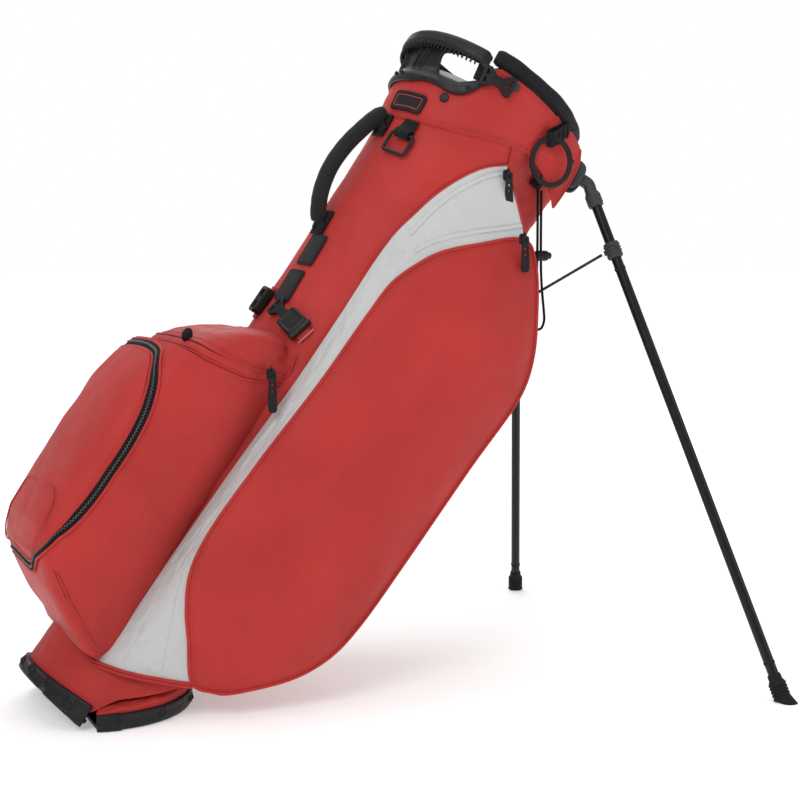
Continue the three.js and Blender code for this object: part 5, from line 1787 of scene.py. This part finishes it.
def make_skirt():
    rows = 40
    grid = np.array([skirt_profile(t, rows) for t in np.linspace(0, 1, 120)])
    s, v = np.meshgrid(np.linspace(0, 1, 120), np.linspace(0, 1, rows), indexing="ij")
    normal = grid_normals(grid)
    outward = np.sign(np.sum(normal[60, 30] * (1, 0, 0)))
    soft = 0.8 * ripples(s * 5, v * 1.5, 41) * np.sin(math.pi * v)
    grid = row_point((grid + soft[..., None] * normal).reshape(-1, 3)).reshape(grid.shape)
    piece = sheet_shell("base_skirt", grid, 1.2, "shell_fabric", away=outward, body="")
    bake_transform(piece)


# ---------------------------------------------------------------- cuff tails over the leg bracket
TAIL_TOP = 897


def make_cuff_tail(side):
    """the cuff's loose front corner: a flap that runs straight forward and hides the root of the leg"""
    word = SIDE_NAMES[side]
    rear = catmull(np.array([tube_point(-66, h, 3.4) for h in (838, 850, 866, 882, 893)]), 8)
    front = catmull(np.array(((117, -98.5, 803), (118, -99.5, 822), (117.5, -99.5, 845), (116.5, -97.5, 866),
                              (112, -89, 886))), 8)
    low = catmull(np.array((rear[0], (72, -97, 832), (92, -101, 822), (107, -101, 811), front[0])), 8)
    high = catmull(np.array((rear[-1], (76, -94.5, 893), (96, -89.5, 891), front[-1])), 8)
    count_a, count_v = 44, 36
    rear, front = resample(rear, count_v), resample(front, count_v)
    low, high = resample(low, count_a), resample(high, count_a)
    a, v = np.linspace(0, 1, count_a)[:, None, None], np.linspace(0, 1, count_v)[None, :, None]
    across = low[:, None] * (1 - v) + high[:, None] * v
    along = rear[None] * (1 - a) + front[None] * a
    corners = (low[0] * (1 - a) + low[-1] * a) * (1 - v) + (high[0] * (1 - a) + high[-1] * a) * v
    grid = across + along - corners
    belly = np.sin(math.pi * a[..., 0]) * np.sin(math.pi * v[..., 0])
    wave = ripples(a[..., 0] * 1.2, v[..., 0] * 1.4, 52)
    grid[..., 1] -= (2.0 + 0.9 * wave) * belly
    # the top turns in under the rim, so the flap has no open edge there
    target = np.array([tube_point(angle_at(f, y, TAIL_TOP), TAIL_TOP, 4) for f, y, _ in high])
    turned = [high * (1 - share) + target * share + (0, 0, 3 * math.sin(math.pi * share))
              for share in (0.25, 0.5, 0.75, 1.0)]
    grid = np.concatenate([grid, np.array(turned).transpose(1, 0, 2)], axis=1) * (1, -side, 1)
    normal = grid_normals(grid)
    away = np.sign(normal[20, 17, 1] * side)
    sheet_shell(f"cuff_tail_{word}", grid, 2.0, "shell_fabric", away=away)
    out = away * normal
    for row_name, rows in (("hem", np.s_[2:-2, 3]), ("front", np.s_[-4, 3:-6])):
        dashes(f"cuff_tail_{row_name}_{word}", grid[rows] + 0.2 * out[rows], out[rows], "shell_thread")
    piping(f"cuff_tail_edge_{word}", grid[:, 0], 1.5)
    piping(f"cuff_tail_corner_{word}", grid[-1, :-4], 1.4)


# ---------------------------------------------------------------- front apron over the leg bracket
APRON_DEPTH = np.array((
    (684, 86), (692, 91), (704, 104), (720, 120), (738, 132), (770, 137), (816, 139), (846, 141),
    (866, 138), (882, 132), (896, 126),
), float)


def outside_tube(place, h):
    """a point of the tube's section at height h, pushed out to the fabric when it lies within it"""
    depth, width, centre = (float(v) for v in tube_size(h))
    away = np.array(place) - (centre, 0)
    reach = math.hypot(away[0] / (depth + 1.6), away[1] / (width + 1.6))
    return (centre, 0) + away / min(reach, 1.0)


def apron_point(share, h):
    """share -1 right to 1 left across the front; the apron bulges to APRON_DEPTH at its middle"""
    depth = float(np.interp(h, APRON_DEPTH[:, 0], APRON_DEPTH[:, 1]))
    rows = ((-54, None), (-44, (depth - 50, -60)), (-34, (depth - 30, -54)), (-24, (depth - 7, -43)),
            (-12, (depth - 1.5, -24)), (0, (depth, 0)))
    points = []
    for angle, free in rows:
        on_tube_point = tube_point(angle, h, -1.6 if free is None else 1.6)[:2]
        if free is None:
            points.append(on_tube_point)
            continue
        full = float(smoothstep((depth - 92) / 34))
        points.append(outside_tube(on_tube_point * (1 - full) + np.array(free) * full, h))
    right = np.array(points)
    line = catmull(np.vstack([right, right[-2::-1] * (1, -1)]), 10)
    along = np.linspace(0, len(line) - 1, 200)
    line = np.stack([np.interp(along, np.arange(len(line)), line[:, k]) for k in (0, 1)], axis=1)
    row = resample(np.column_stack([line, np.full(len(line), h)]), 81)
    return row[int(round((share + 1) * 40))]


def make_apron():
    heights = np.linspace(APRON_DEPTH[0, 0], APRON_DEPTH[-1, 0], 72)
    shares = np.linspace(-1, 1, 81)
    grid = np.array([[apron_point(s, h) for h in heights] for s in shares])
    normal = grid_normals(grid)
    away = np.sign(normal[40, 36, 0])
    s, v = np.meshgrid(shares, np.linspace(0, 1, len(heights)), indexing="ij")
    soft = 0.9 * ripples(s * 1.3, v * 2.6, 61) * np.sin(math.pi * v) * np.cos(s * math.pi / 2)
    grid = grid + (away * soft)[..., None] * normal
    sheet_shell("front_apron", grid, 1.8, "shell_fabric", away=away)
    out = away * normal[6:-6]
    for number, row in enumerate((52, 54)):
        dashes(f"front_apron_stitch_{number + 1}", grid[6:-6, row] + 0.2 * out[:, row], out[:, row], "shell_thread")


# ---------------------------------------------------------------- everything in order
make_cord(make_cord_lock())
for make in (make_tube_fabric, make_cuff, make_rim, make_lining, make_divider):
    make()
for side in (RIGHT, LEFT):
    make_side_pocket(side)
    make_side_panel(side)
for make in (make_ball_pocket, make_ball_door, make_cooler_pocket, make_base_boot, make_base_plate, make_skirt):
    make()
for side in (RIGHT, LEFT):
    make_cuff_tail(side)
for make in (make_apron, make_rear_handle, make_badge, make_snaps, make_hood_buckle, make_strap_ring, make_towel_ring,
             make_carry_handle, make_patches, make_strap_buckles, make_pulls, make_leg_bracket):
    make()
for side in (RIGHT, LEFT):
    make_leg(side)
make_push_rod()
make_stage()

# carried-over CAD parts take their slot's finish
for subpart in frame["record"]["subparts"]:
    node = frame["nodes"][subpart["node"]]
    node.data.materials.clear()
    node.data.materials.append(MATERIALS[subpart["material_slot"]])
